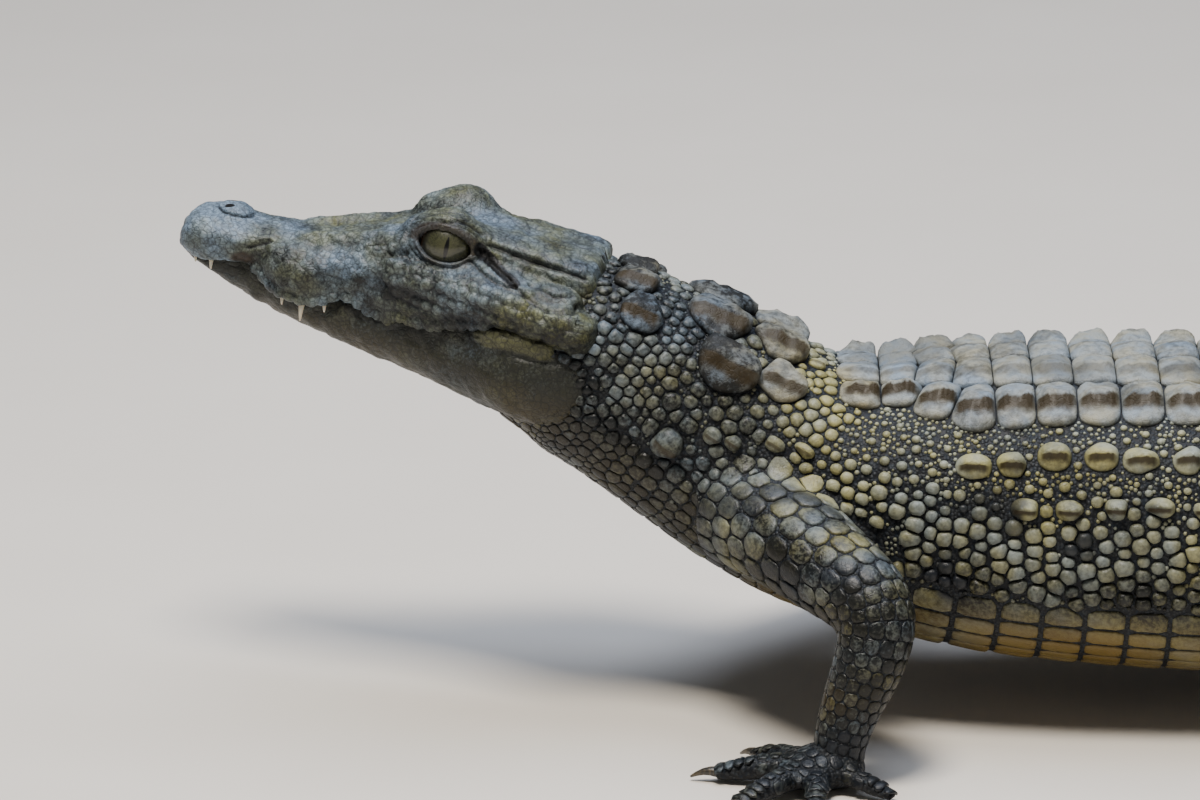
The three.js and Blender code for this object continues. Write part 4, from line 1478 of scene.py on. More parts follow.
# %% One helper for nodes
def node(tree, kind, inputs=(), **settings):
    """Adds a node with its settings. Its inputs are filled by name, or in turn from a list, which
    leaves out those not in use. Each is a number, a colour, a socket, or a node, whose first output
    in use is linked."""
    made = tree.nodes.new(kind)
    for key, value in settings.items():
        setattr(made, key, value)
    if isinstance(inputs, dict):
        pairs = [(made.inputs[key], value) for key, value in inputs.items()]
    else:
        pairs = zip([socket for socket in made.inputs if socket.enabled], inputs)
    for socket, value in pairs:
        if isinstance(value, bpy.types.Node):
            value = next(out for out in value.outputs if out.enabled)
        if isinstance(value, bpy.types.NodeSocket):
            tree.links.new(value, socket)
        else:
            socket.default_value = value
    return made


# %% Granule tree
granule_tree = bpy.data.node_groups.new("granules", "GeometryNodeTree")
face = granule_tree.interface
for name, kind in (("Geometry", "Geometry"), ("Spacing", "Float"), ("Bead radius", "Float"),
                   ("Seed", "Int"), ("Finish", "Material")):
    face.new_socket(name, in_out="INPUT", socket_type="NodeSocket" + kind)
face.new_socket("Geometry", in_out="OUTPUT", socket_type="NodeSocketGeometry")
given = node(granule_tree, "NodeGroupInput").outputs
room_there = node(
    granule_tree, "GeometryNodeInputNamedAttribute", {"Name": "room"}, data_type="FLOAT"
)
scatter = node(
    granule_tree, "GeometryNodeDistributePointsOnFaces",
    {"Mesh": given["Geometry"], "Distance Min": given["Spacing"], "Density Max": 1.1e6,
     "Density Factor": room_there, "Seed": given["Seed"]},
    distribute_method="POISSON",
)
bead = node(
    granule_tree, "GeometryNodeMeshUVSphere",
    {"Segments": 6, "Rings": 4, "Radius": given["Bead radius"]},
)
flat_bead = node(granule_tree, "GeometryNodeTransform", {"Geometry": bead, "Scale": (1, 1, 0.75)})
grow = node(
    granule_tree, "FunctionNodeRandomValue", {2: 0.62, 3: 1.25, "Seed": given["Seed"]},
    data_type="FLOAT",
)
on_points = node(
    granule_tree, "GeometryNodeInstanceOnPoints",
    {"Points": scatter, "Instance": flat_bead, "Rotation": scatter.outputs["Rotation"],
     "Scale": grow},
)
real = node(granule_tree, "GeometryNodeRealizeInstances", {"Geometry": on_points})
finish = node(
    granule_tree, "GeometryNodeSetMaterial", {"Geometry": real, "Material": given["Finish"]}
)
node(granule_tree, "NodeGroupOutput", {"Geometry": finish})
print("granule tree:", len(granule_tree.nodes), "nodes")

# %% Granules
GRANULE_SPACING = 1.25  # mm
granules = bpy.data.objects.new("coat_granules", skin.data.copy())
bpy.context.scene.collection.objects.link(granules)
scattering = granules.modifiers.new("granules", "NODES")
scattering.node_group = granule_tree
sockets = {item.name: item.identifier for item in face.items_tree if item.in_out == "INPUT"}
scattering[sockets["Spacing"]] = GRANULE_SPACING / 1000
scattering[sockets["Bead radius"]] = 0.52 * GRANULE_SPACING / 1000
scattering[sockets["Seed"]] = 5
as_plain(granules)
print("points of all granules:", len(granules.data.vertices))

# %% The granules' map and shares
granules.data.polygons.foreach_set("use_smooth", [True] * len(granules.data.polygons))
granule_at = vertices_of(granules)
PER_GRANULE = 20  # points of a sphere of 6 segments and 4 rings
groups = granule_at.reshape(-1, PER_GRANULE, 3)
middle = groups.mean(axis=1)
own = np.repeat(rng.uniform(-1, 1, len(groups)), PER_GRANULE)
flat = np.empty(len(granule_at) * 3)
granules.data.attributes["unrolled"].data.foreach_get("vector", flat)
roots = flat.reshape(-1, 3)[:, :2]
offset = (groups - middle[:, None]).reshape(-1, 3) * (0.0013 / (0.6 * GRANULE_SPACING))
loops = np.empty(len(granules.data.loops), dtype=np.int32)
granules.data.loops.foreach_get("vertex_index", loops)
for layer in list(granules.data.uv_layers):
    granules.data.uv_layers.remove(layer)
set_map(granules, np.clip(roots + offset[:, [0, 2]], 0.001, 0.999), loops)
middle = np.repeat(middle, PER_GRANULE, axis=0)
_, outward, _ = on_skin(groups.mean(axis=1))
height = ((granule_at - middle) * np.repeat(outward, PER_GRANULE, axis=0)).sum(-1)
set_share(granules, "lift", ease(height, -0.1, 0.3))
set_share(granules, "own", own)
mark(granules, middle)
print("granules:", len(groups), "with", len(granules.data.polygons), "faces")

# %% [markdown]
# ## The head's hide
# A crocodile's head has no loose scales. Its hide is stretched over the bone and cracks into small
# fields as it grows. So the head gets its relief in its own mesh: seed points are spread over it,
# close on the lids and wider on the roof, and each vertex rises by how far it is from the border
# between its two nearest seeds. Bumps, folds and the lip's scallops are added in the same way.

# %% Fields of cracked hide
def spaced_out(points, spacing, seed):
    """Points picked so that none is nearer to another than its own spacing."""
    picker = np.random.default_rng(seed)
    order = picker.permutation(len(points))
    tree = search_tree(points)
    free = np.ones(len(points), bool)
    picked = []
    for i in order:
        if free[i]:
            picked.append(i)
            for _, j, _ in tree.find_range(points[i].tolist(), float(spacing[i])):
                free[j] = False
    return np.array(picked)


def cell_relief(points, spacing, seed):
    """How far each point is inside its cell, 0 to 1, and which cell it is in."""
    picked = spaced_out(points, spacing, seed)
    seeds = search_tree(points[picked])
    found = [seeds.find_n(p, 2) for p in points.tolist()]
    first = np.array([f[0][2] for f in found])
    second = np.array([f[1][2] for f in found])
    which = np.array([f[0][1] for f in found])
    return np.clip((second - first) / (0.8 * spacing), 0, 1), which, len(picked)


def along_path(path, spacing):
    """Evenly spaced points on a broken line."""
    path = np.array(path, float)
    run = run_along(path)
    return at_run(np.arange(0, run[-1] + 0.01, spacing), run, path)


def bumps(p, centres, radius, height):
    """Rounded bumps at points of the surface."""
    rise = np.zeros(len(p))
    for centre, r, h in zip(centres, np.broadcast_to(radius, len(centres)),
                            np.broadcast_to(height, len(centres))):
        q = ((p - centre) ** 2).sum(axis=1) / (r * r)
        rise = np.maximum(rise, h * np.clip(1 - q, 0, 1) ** 0.6)
    return rise


def lid_distance(p):
    """How far a point is from the edge of the eye's opening, in mm, and whether it is above."""
    along, out, up = eye_frame([p[:, 0], np.abs(p[:, 1]), p[:, 2]])
    away = np.hypot(along / OPENING_HALF[0], up / OPENING_HALF[1]) - 1
    away = np.where(out > 0, away, 9.0)
    return away * EYE_RADIUS * 0.6, up


FINEST_FIELD = 1.25
print("fields of cracked hide are at least", FINEST_FIELD, "mm wide")

# %% [markdown]
# ### Features of the head
# Rows of bumps run along the cheek and the lips, creases run over the lids, the roof's edge and the
# ear flap, and a pad closes the mouth's corner. Each is a broken line on the right side, written as
# back, out and up from the snout tip and moved on to the surface. The left side mirrors it.

# %% Bumps
CHEEK_ROWS = (  # a broken line, the spacing of its bumps, their radius and height
    ([(62.6, 20.5, 12.1), (68.8, 23.3, 13.1), (77, 25, 11.9), (90, 28.8, 11.2), (104, 30.6, 11)],
     3.1, 1.8, 0.75),
    ([(70.7, 21.4, 18.0), (78.9, 24.3, 18.1), (89.9, 27.5, 19.1), (103.9, 30.1, 18.2)], 3.7, 2.1, 0.8),
    ([(79, 25.6, 15.6), (82.7, 26.8, 16.0), (92.9, 29.5, 15.6), (104, 31.3, 14.1), (116, 31.5, 12)],
     3.5, 2.1, 0.85),
    ([(66, 22.0, 9.0), (76, 25.0, 8.4), (86, 27.6, 9.0), (95, 29.4, 9.8)], 3.3, 1.8, 0.55),
    ([(72, 22.6, 14.9), (78, 24.8, 14.4)], 3.4, 1.8, 0.6),
    ([(108, 31, 9.5), (122, 30, 8.6)], 4.4, 2.4, 0.7),
    ([(108, 30.6, 17.2), (122, 29, 15.6)], 4.2, 2.3, 0.7),
)
LIP = [(24, 11.4, 1.2), (28.8, 13, -1.0), (34.8, 14.8, -3.0), (41.2, 16, -2.6), (46, 16.4, -0.8),
       (50.8, 16.6, 1.6), (54, 17.2, 0.2), (60.3, 18.6, -1.2), (68, 20.6, -1.0), (76, 23.2, 0.4),
       (83, 25.4, 2.6), (89, 27, 5.2), (94, 27.8, 7.4)]
SNOUT_LIP = [(2.5, 4.5, 2.6), (5, 7.6, 1.6), (9, 10.4, 1.0), (14, 12.2, 1.2), (18, 12.2, 1.8)]
KNOBS = [(55.2, 13.7, 18.0), (57.5, 15, 17.6), (59.9, 15.8, 18.2), (62.1, 16.3, 20.1),
         (65.9, 20.7, 17.3), (63.0, 19.6, 16.4)]
KNOB_SIZES = (1.3, 1.5, 1.6, 1.6, 2.0, 1.6)
NOSE_RING = [(14.4 - 5.8 * math.cos(a), 5.8 * math.sin(a), 14.2) for a in np.linspace(0, math.pi, 13)]
print("cheek rows:", len(CHEEK_ROWS), "and knobs:", len(KNOBS))

# %% Grooves, slit and pad
GROOVES = (  # a broken line, half width and depth
    ([(66.8, 15.7, 26.7), (71.2, 17.3, 30.3), (76.7, 18.0, 32.3), (82, 15.7, 32), (86.2, 14, 29.4)],
     0.5, 0.6),
    ([(65.9, 13.3, 28.7), (72.2, 14.8, 32.9), (79.3, 13.5, 34.2)], 0.45, 0.4),
    ([(68.6, 17.9, 22.4), (71.8, 19.7, 20.3), (77.1, 21.5, 19.8), (81.6, 21.1, 20.7), (85, 19, 23)],
     0.5, 0.55),
    ([(66.5, 19, 20.4), (71, 21.4, 18.0), (78, 23.0, 17.6)], 0.45, 0.4),
    ([(88.7, 14.8, 27.6), (95.6, 15.7, 26.4), (102.5, 16.5, 26), (111, 17.2, 26.1), (118, 17.6, 25.6)],
     0.8, 1.0),
    ([(90, 15.6, 28.4), (100, 17, 27.8), (112, 17.8, 27.8)], 0.45, 0.3),
    ([(85.1, 18.3, 22.6), (91.4, 23.2, 20.2), (98.8, 26.0, 19.3), (103.0, 27.3, 19.2)], 0.5, 0.55),
    ([(98.8, 24.4, 20.6), (105.2, 28.5, 18.9), (111.5, 30.2, 17.7), (116.8, 28.5, 18.1),
      (119.5, 24, 20.5)], 0.6, 0.9),
    ([(102.5, 21.3, 21.5), (111, 25.6, 20.6), (116.1, 23.2, 21.8)], 0.5, 0.5),
    ([(105, 20.3, 23.2), (112, 22.6, 22.4), (116, 21, 23.4)], 0.45, 0.4),
    ([(21.6, 11, 7.5), (24.2, 11.3, 9.2), (27.4, 10.2, 11.2)], 0.6, 0.7),
    ([(60.5, 12.4, 22.4), (66, 9.6, 27.4)], 0.5, 0.5),
    (NOSE_RING, 0.5, 0.6),
)
EAR_SLIT = [(86.3, 16.3, 25.9), (87.9, 16.4, 24.8), (89.7, 16.8, 23.7), (91.4, 17.7, 23.1),
            (93.2, 19.0, 22.7), (95.0, 20.4, 22.2), (96.8, 22.2, 21.8), (98.7, 23.7, 21.3)]
NOTCH = (20.4, 11.4, 4.0)
NOSTRIL = (12.4, 2.6, 16.2)
UPPER_LIP = ([24, 29, 35, 41, 45, 51, 54, 60, 68, 75, 82.5, 89, 94],  # back, and up
             [0, -2, -4, -3.4, -1.8, 1, -0.8, -2, -1.8, -0.6, 1.8, 4.6, 7])
PAD = [(94, 24, 5.0), (103, 28.0, 6.4), (113, 29.4, 6.2)]
MUSCLE = [(104, 29, 2.6), (109, 29.5, 2.6), (115.4, 29.6, 4.0), (121, 27.8, 2.8), (124.6, 27.4, 0.2),
          (124.4, 28, -4.4), (120.6, 28.6, -9.6), (114, 27.6, -15)]


print("grooves:", len(GROOVES))


# %% Distances to the features
def on_surface(path, points, step=0.5):
    """A broken line or a few points, moved to the nearest points of a surface."""
    path = along_path(path, step) if step else np.array(path, float)
    found = np.array([points[((points - p) ** 2).sum(axis=1).argmin()] for p in path])
    if step == 0.5:  # a line is smoothed along its run
        padded = np.concatenate([found[:1]] * 2 + [found] + [found[-1:]] * 2)
        found = sum(padded[k:k + len(found)] for k in range(5)) / 5
    return found


def near_line(p, line, reach_mm):
    """Distance from points to the nearest point of a line, up to a reach."""
    value = np.full(len(p), 99.0)
    low, high = line.min(axis=0) - reach_mm, line.max(axis=0) + reach_mm
    close = np.flatnonzero(((p > low) & (p < high)).all(axis=1))
    part = p[close]
    for point in line:
        value[close] = np.minimum(value[close], ((part - point) ** 2).sum(axis=1))
    return np.where(value < 90, np.sqrt(value), 99.0)


def groove(p, line, width):
    """1 on a line and 0 away from it."""
    return np.exp(-((near_line(p, line, 4 * width) / width) ** 2))


# %% Features of the upper head
def upper_features(p, right, relief):
    """Adds bumps, creases, lids and slits to a relief. Returns it, dark with painted shade in the
    creases, red, the slits' painted shade and the bumps.
    """
    away, up = lid_distance(p)
    side = right[p[:, 1] > 0]
    picker = np.random.default_rng(24)
    pebbles, field, dark = (np.zeros(len(p)) for _ in range(3))
    for path, step, radius, height in CHEEK_ROWS:
        centres = on_surface(path, side, step)
        sizes = picker.uniform(0.82, 1.12, len(centres))
        pebbles = np.maximum(pebbles, bumps(right, centres, radius * sizes, height * sizes))
        field = np.maximum(field, ease(2.9 - near_line(right, centres, 4), 0, 1.2))
    for path, step, radius, height in (
        (LIP, 3.4, 2.15, 1.05), (SNOUT_LIP, 2.9, 1.7, 0.35), (KNOBS, 0, KNOB_SIZES, 0.9)
    ):
        centres = on_surface(path, side, step)
        pebbles = np.maximum(pebbles, bumps(right, centres, radius, height))
    # between bumps the hide sinks, and darkens there as painted shade
    relief = relief * (1 - 0.7 * field) + 1.35 * pebbles - 0.4 * field
    dark = np.maximum(dark, 0.9 * field * ease(0.3 - pebbles, 0, 0.25))
    for path, width, depth in GROOVES:
        line = groove(right, on_surface(path, side), width)
        relief = relief - 1.3 * depth * line
        # painted shade in the grooves
        dark = np.maximum(dark, 0.95 * ease(line, 0.25, 0.9))
    # the lids: a crease, a swollen rim, a row of beads below, and wrinkles round both
    relief = relief - 0.5 * ease(0.45 - np.abs(away - 2.2), 0, 0.45)
    relief = relief + 0.25 * ease(0.9 - np.abs(away - 0.9), 0, 0.7)
    beads = ease(0.75 - np.abs(away - 3.2), 0, 0.4) * (up < 0.05)
    relief = relief + 0.22 * beads * np.cos(2 * math.pi * p[:, 0] / 1.7)
    around = ease(7.5 - away, 0, 3) * ease(away - 0.8, 0, 0.8)
    wrinkles = np.cos(2 * math.pi * (away + 0.25 * mottle(p, 4, 35)) / 1.25) * around
    relief = relief + 0.16 * wrinkles
    # painted shade in the troughs of the wrinkles
    dark = np.maximum(dark, 0.45 * ease(-wrinkles, 0.5, 1.0))
    red = 0.8 * ease(2.6 - away, 0, 1.4) * (up > -0.1)
    red = np.maximum(red, 0.5 * ease(1.3 - away, 0, 0.8))
    # the notch where a lower tooth shows, the ear slit and the nostril
    notch = np.linalg.norm((right - np.array(NOTCH)) / (1.5, 1, 1), axis=1)
    red = np.maximum(red, ease(3.0 - notch, 0, 1.5))
    # painted shade in the notch
    dark = np.maximum(dark, 0.65 * ease(2.6 - notch, 0, 1.5))
    # the ear slit and the nostril are painted black, as painted shade
    slit = groove(right, along_path(EAR_SLIT, 0.5), 1.9)
    nostril = np.linalg.norm((right - np.array(NOSTRIL)) / (1.7, 1.2, 1.5), axis=1)
    slit = np.maximum(slit, ease(1.15 - nostril, 0, 0.5))
    return relief, dark, red, slit, pebbles


# %% Features of the lower jaw
def jaw_features(p, right, relief):
    """Adds the pad of the mouth's corner and the biting muscle. Returns the relief, dark and pad."""
    x, z = p[:, 0], p[:, 2]
    side = right[p[:, 1] > 0]
    from_pad = near_line(right, on_surface(PAD, side), 6)
    pad = ease(3.6 - from_pad, 0, 1.6)
    stripes = np.cos(2 * math.pi * (z - 0.12 * x + 0.3 * mottle(p, 3, 36)) / 1.5)
    relief = relief + 0.7 * ease(4 - from_pad, 0, 2.6) + 0.18 * pad * stripes
    dark = 0.8 * ease(0.7 - np.abs(from_pad - 4.0), 0, 0.6)
    dark = np.maximum(dark, 0.5 * pad * ease(-stripes, 0.3, 0.9))
    line = groove(right, on_surface(MUSCLE, side), 0.7)
    relief = relief - 0.45 * line
    # painted shade in the muscle's groove
    dark = np.maximum(dark, 0.7 * ease(line, 0.3, 0.95))
    # a painted shadow under the upper lip, and a darker tone all over, partly the jaw's own olive
    #     and partly painted shade
    lip = np.interp(x, *UPPER_LIP)
    shade = ease(z - lip, -1.7, -0.5) * ease(x, 22, 26) * ease(95 - x, 0, 3)
    dark = np.maximum(np.maximum(dark, shade), 0.32 * (1 - pad))
    return relief, dark, pad


# %% Relief and shares of the head
def head_hide(p, is_jaw):
    """Relief in mm, and the shares of the colours, for points of the head in its own frame."""
    right = np.stack([p[:, 0], np.abs(p[:, 1]), p[:, 2]], -1)
    x, z = p[:, 0], p[:, 2]
    none = np.zeros(len(p))
    near_eye = roof = cheek = none
    if not is_jaw:
        near_eye = ease(8.0 - lid_distance(p)[0], 0, 5.5)
        roof = ease(x, 80, 88) * ease(z, 26.2, 28.2)
        cheek = ease(x, 56, 66) * ease(19.5 - z, 0, 3) * (1 - near_eye)
    tip = ease(24 - x, 0, 10)
    spacing = 2.1 - 0.3 * tip + 1.0 * cheek + 1.4 * roof - 0.8 * near_eye + (0.7 if is_jaw else 0)
    inside, which, count = cell_relief(p, np.maximum(spacing, FINEST_FIELD), 21 + is_jaw)
    own = np.random.default_rng(31).uniform(-1, 1, count)[which]
    crack = 1 - (1 - inside) ** 3
    amount = 0.13 + 0.10 * ease(x, 80, 110) if is_jaw else 0.15 - 0.05 * tip + 0.14 * cheek
    relief = amount * (crack - 0.6) * (1 + 0.35 * own)
    fine = 0.10 * (1 - 0.3 * tip) * mottle(p, 1.5, 22) * (1 - near_eye)
    relief = relief + fine * (0.4 if is_jaw else 1)
    relief = relief + 0.16 * (1 - 0.6 * tip) * mottle(p, 3.4, 23) * (1 - near_eye)
    if is_jaw:
        relief, dark, pad = jaw_features(p, right, relief)
        red = slit = none
        yellow = np.maximum(pad, 0.3)
        warm = 0.42 + 0.15 * mottle(p, 8, 28) + 0.6 * pad
        # the jaw is dark, partly its own olive colour and partly painted shade
        light = 0.04 + 0.05 * mottle(p, 5, 29) - 0.04 * ease(x, 85, 110) + 0.26 * pad
        ochre = ease(-z, 2, 12) * (0.24 + 0.1 * mottle(p, 12, 30))
    else:
        relief, dark, red, slit, pebbles = upper_features(p, right, relief)
        yellow = ochre = none
        # cooler towards the snout tip: painted reflection of the sky
        warm = 0.52 + 0.18 * mottle(p, 9, 27) - 0.4 * ease(36 - x, 0, 24)
        warm = warm + 0.2 * ease(x, 84, 104) * (1 - roof)
        light = 0.50 + 0.08 * mottle(p, 5, 26) + 0.05 * own
        # paler on top of the snout tip: painted reflection of the sky
        light = light + 0.2 * ease(34 - x, 0, 26) * ease(z, 2, 14)
        # bumps paler, and darker low on the head as painted shade
        light = light + 0.14 * pebbles - 0.26 * ease(18 - z, 0, 12) * (1 - tip)
        light = light - 0.14 * ease(x, 40, 60)
        # painted light on the muzzle's side where it turns under, against the shade there
        light = light + 0.28 * np.exp(-(((x - 51) / 6) ** 2) - ((z - 8) / 5) ** 2)
    dark = np.maximum(dark, 0.2 * ease(mottle(p * (1, 1, 1.4), 4.0, 25), 1.3, 1.9))
    dark = np.maximum(dark, (0.5 + 0.3 * cheek) * (1 - inside) ** 4)
    shares = {
        "warm": warm, "light": light, "ochre": ochre, "dark": dark, "red": red, "slit": slit,
        "own": own, "lift": 0.35 + 0.65 * crack, "yellow": yellow,
    }
    return relief, {name: np.clip(v, -1, 1) for name, v in shares.items()}


# %% Head and jaw
def head_piece(name, grid, is_jaw):
    """A ray grid as a closed mesh with its relief and shares."""
    rings, sides = grid.shape[:2]
    points = grid.reshape(-1, 3)
    relief, shares = head_hide(points, is_jaw)
    fade = ease(126 - points[:, 0], 0, 5)
    points = points + ring_normals(grid).reshape(-1, 3) * (relief * fade)[:, None]
    quads = grid_faces(rings, sides)[:, ::-1]
    made = mesh_object(name, head_to_body(points), quads, end_caps(rings, sides))
    for share, values in shares.items():
        set_share(made, share, values)
    made.data.calc_loop_triangles()
    print(name, "has", len(made.data.loop_triangles), "triangles")
    return made


head = head_piece("skin_head", head_grid, False)
jaw = head_piece("skin_jaw", jaw_grid, True)

# %% [markdown]
# ## Eyes, teeth and claws
# The eyeball is a true ball with a slightly swollen cornea, which looks out and a little ahead. Its
# iris and slit are drawn from the eyeball's own map, so they stay put. Teeth and claws are bent
# cones. Only the teeth that show beside a closed mouth are made.

# %% Eyes
EYE_TURNED = (-5.0, 5.0)  # degrees that the iris is turned, to the side and up
IRIS_RADIUS = 7.2
CORNEA = 0.035  # how far the cornea stands out, in eye radii
BEHIND_LIDS = 0.35  # mm that the ball is smaller than its socket


def eyeball(name, side):
    """An eyeball with its shares: mm aside and up from the middle of the iris."""
    rings, sides = 40, 56
    polar = np.linspace(0, math.pi, rings + 1)[1:-1]
    around = 2 * math.pi * np.arange(sides) / sides
    polar, around = np.meshgrid(polar, around, indexing="ij")
    swell = 1 + CORNEA * np.exp(-((polar / 0.62) ** 2))
    local = np.stack([
        np.sin(polar) * np.cos(around), np.cos(polar), np.sin(polar) * np.sin(around)], -1)
    ends = np.array([[0.0, 1 + CORNEA, 0.0], [0.0, -1.0, 0.0]])
    points = np.concatenate([(local * swell[..., None]).reshape(-1, 3), ends])
    look = turn("Z", math.radians(EYE_TURNED[0])) @ turn("X", math.radians(EYE_TURNED[1]))
    points = points @ look.T * (EYE_RADIUS - BEHIND_LIDS)
    points = (points + EYE_CENTRE) * (1, side, 1)
    faces = [list(map(int, face)) for face in grid_faces(rings - 1, sides)]
    top, bottom = len(points) - 2, len(points) - 1
    last = (rings - 2) * sides
    for k in range(sides):
        faces.append([top, (k + 1) % sides, k])
        faces.append([bottom, last + k, last + (k + 1) % sides])
    if side > 0:
        faces = [face[::-1] for face in faces]
    made = mesh_object(name, head_to_body(points), faces)
    aside, upright = (np.append(local[..., k].ravel(), [0, 0]) * EYE_RADIUS for k in (0, 2))
    set_share(made, "aside", np.where(points[:, 1] * side > 0, aside, 9.0))
    set_share(made, "upright", upright)
    return made


eyes = [eyeball("eye_ball_left", -1), eyeball("eye_ball_right", 1)]
print("each eyeball has", len(eyes[0].data.polygons), "faces")

# %% [markdown]
# ### Teeth and claws
# A tooth is a bent cone, set in the gum and leaning out. A claw starts inside its toe, arches and
# comes down to the floor. Both are stacks of rings, like a scale, along a short path.

# %% Teeth
# back, out, root height, tip height, all from the snout tip
TEETH = [
    (6.5, 8.0, 1.0, -1.5),
    (11.5, 9.9, 1.2, -1.9),
    (34.0, 14.2, -2.0, -5.4),
    (40.2, 15.5, -2.6, -8.6),
    (46.5, 15.9, -1.4, -3.8),
]


CONE_SIDES = 14
TOOTH_LEVELS = (0, 0.25, 0.5, 0.75, 0.92)  # shares of the length, from the root
CLAW_LEVELS = (0, 0.15, 0.35, 0.55, 0.75, 0.9)


def cone(rows, sides=CONE_SIDES):
    """A closed bent cone through rows of a point, a radius and how flat it is there."""
    points, last = [], len(rows) - 1
    angle = 2 * math.pi * np.arange(sides) / sides
    centres = np.array([row[0] for row in rows], float)
    for i, (centre, radius, flat) in enumerate(rows):
        along = unit(centres[min(i + 1, last)] - centres[max(i - 1, 0)])
        one = unit(np.cross(along, (0.0, 1.0, 0.001)))
        two = np.cross(along, one)
        points.append(centre + radius * (
            np.cos(angle)[:, None] * one + flat * np.sin(angle)[:, None] * two))
    points.append(centres[-1][None] + unit(centres[-1] - centres[-2]) * rows[-1][1] * 0.6)
    return np.concatenate(points), stack_faces(sides, len(rows))


def towards_tip(levels):
    """A cone's shares from root to tip, for each of its vertices."""
    return np.concatenate([np.repeat(levels, CONE_SIDES), [1]])


def shape_object(name, pieces):
    """An object of one or more closed shapes, with its normals made to point outwards."""
    points, faces = merge(pieces)
    made = mesh_object(name, points, faces)
    form = bmesh.new()
    form.from_mesh(made.data)
    bmesh.ops.recalc_face_normals(form, faces=form.faces)
    form.to_mesh(made.data)
    form.free()
    return made


tooth_shapes = []
for back, out, root, tip in TEETH:
    for side in (-1, 1):
        rows = []
        for share in TOOTH_LEVELS:
            length = root + 2.2 - tip
            centre = (back + 0.7 * share**2, side * (out - 0.5 + 0.9 * share),
                      root + 2.2 - length * share)
            width = 0.24 * math.sqrt(length) + 0.25
            rows.append((centre, width * (1 - share**1.6) + 0.12, 0.85))
        shape, faces = cone(rows)
        tooth_shapes.append((head_to_body(shape), faces))
teeth = shape_object("teeth", tooth_shapes)
set_share(teeth, "towards_tip", np.tile(towards_tip(TOOTH_LEVELS), len(tooth_shapes)))
print("teeth:", len(tooth_shapes))

# %% Claws
claws = {}
for name, leg in LEGS.items():
    for i, (x, y, r) in enumerate(leg["toes"][:CLAWED_TOES]):
        ahead = unit(np.array([x - leg["toe_root"][0], y - leg["toe_root"][1], 0.0]))
        base = np.array([x, y, r * TOE_END])
        rows = []
        for share in CLAW_LEVELS:
            far = -2.4 + share * (CLAW_LENGTH + 2.35)
            height = base[2] * 0.95 + 0.9 * math.sin(math.pi * share) - (base[2] - 0.75) * share**1.7
            thick = 1.5 * (1 - share**1.3) + 0.14
            rows.append((base * (1, 1, 0) + ahead * far + UP * height, thick, 1.15))
        shape, faces = cone(rows)
        made = shape_object("horn_" + name + "_" + str(i + 1), [(shape, faces)])
        set_share(made, "towards_tip", towards_tip(CLAW_LEVELS))
        claws[name + "_claw_" + str(i + 1)] = made
print("claws:", len(claws))

# %% [markdown]
# ## Materials
# Hide, scales and claws are all keratin, the stuff of horn, so they share one recipe. Two cool and
# two warm hide colours are mixed by the shares stored in the mesh, then ochre and blue-black go over
# them; the blue-black paints blotches, and on the head painted shade too. Each colour is an sRGB hex
# value read off the real stuff and turned to linear light. Each pattern's scale is 1000 over its size
# in millimetres, because object coordinates are in metres.

# %% Colours and an empty material
def linear(text):
    """An sRGB hex value as linear red, green, blue and alpha."""
    channels = [int(text[i:i + 2], 16) / 255 for i in (1, 3, 5)]
    light = [c / 12.92 if c <= 0.04045 else ((c + 0.055) / 1.055) ** 2.4 for c in channels]
    return (*light, 1.0)


def new_material(name, share_names=()):
    """An empty material: itself, its tree, the place on the object, and the mesh's shares by name."""
    made = bpy.data.materials.new(name)
    made.use_nodes = True
    tree = made.node_tree
    tree.nodes.clear()
    place = node(tree, "ShaderNodeTexCoord").outputs["Object"]
    shares = {
        share: node(tree, "ShaderNodeAttribute", attribute_name=share).outputs["Fac"]
        for share in share_names
    }
    return made, tree, place, shares


MARKINGS = ("warm", "light", "ochre", "dark", "own")
SOFT = {"interpolation_type": "SMOOTHSTEP"}  # a range that starts and ends smoothly
COLOUR = {"data_type": "RGBA"}
PALETTE = {
    "cool_dark": "#0E1317", "cool_pale": "#7E8D99", "warm_dark": "#15140C", "warm_pale": "#999465",
    # the brown below a keel is brown horn with painted shade over it
    "ochre": "#6B5727", "keel_shade_brown": "#2C220C", "blotch_and_shade": "#161A22", "fleck": 1.3, "uneven": 0.19,
    # the blue-black blotch colour also paints shade on the head
    "own": 0.12, "under": 0.96, "blotch_strength": 0.92,
}  # fleck is the size of a fleck in mm, and the numbers after it say how strong each effect is


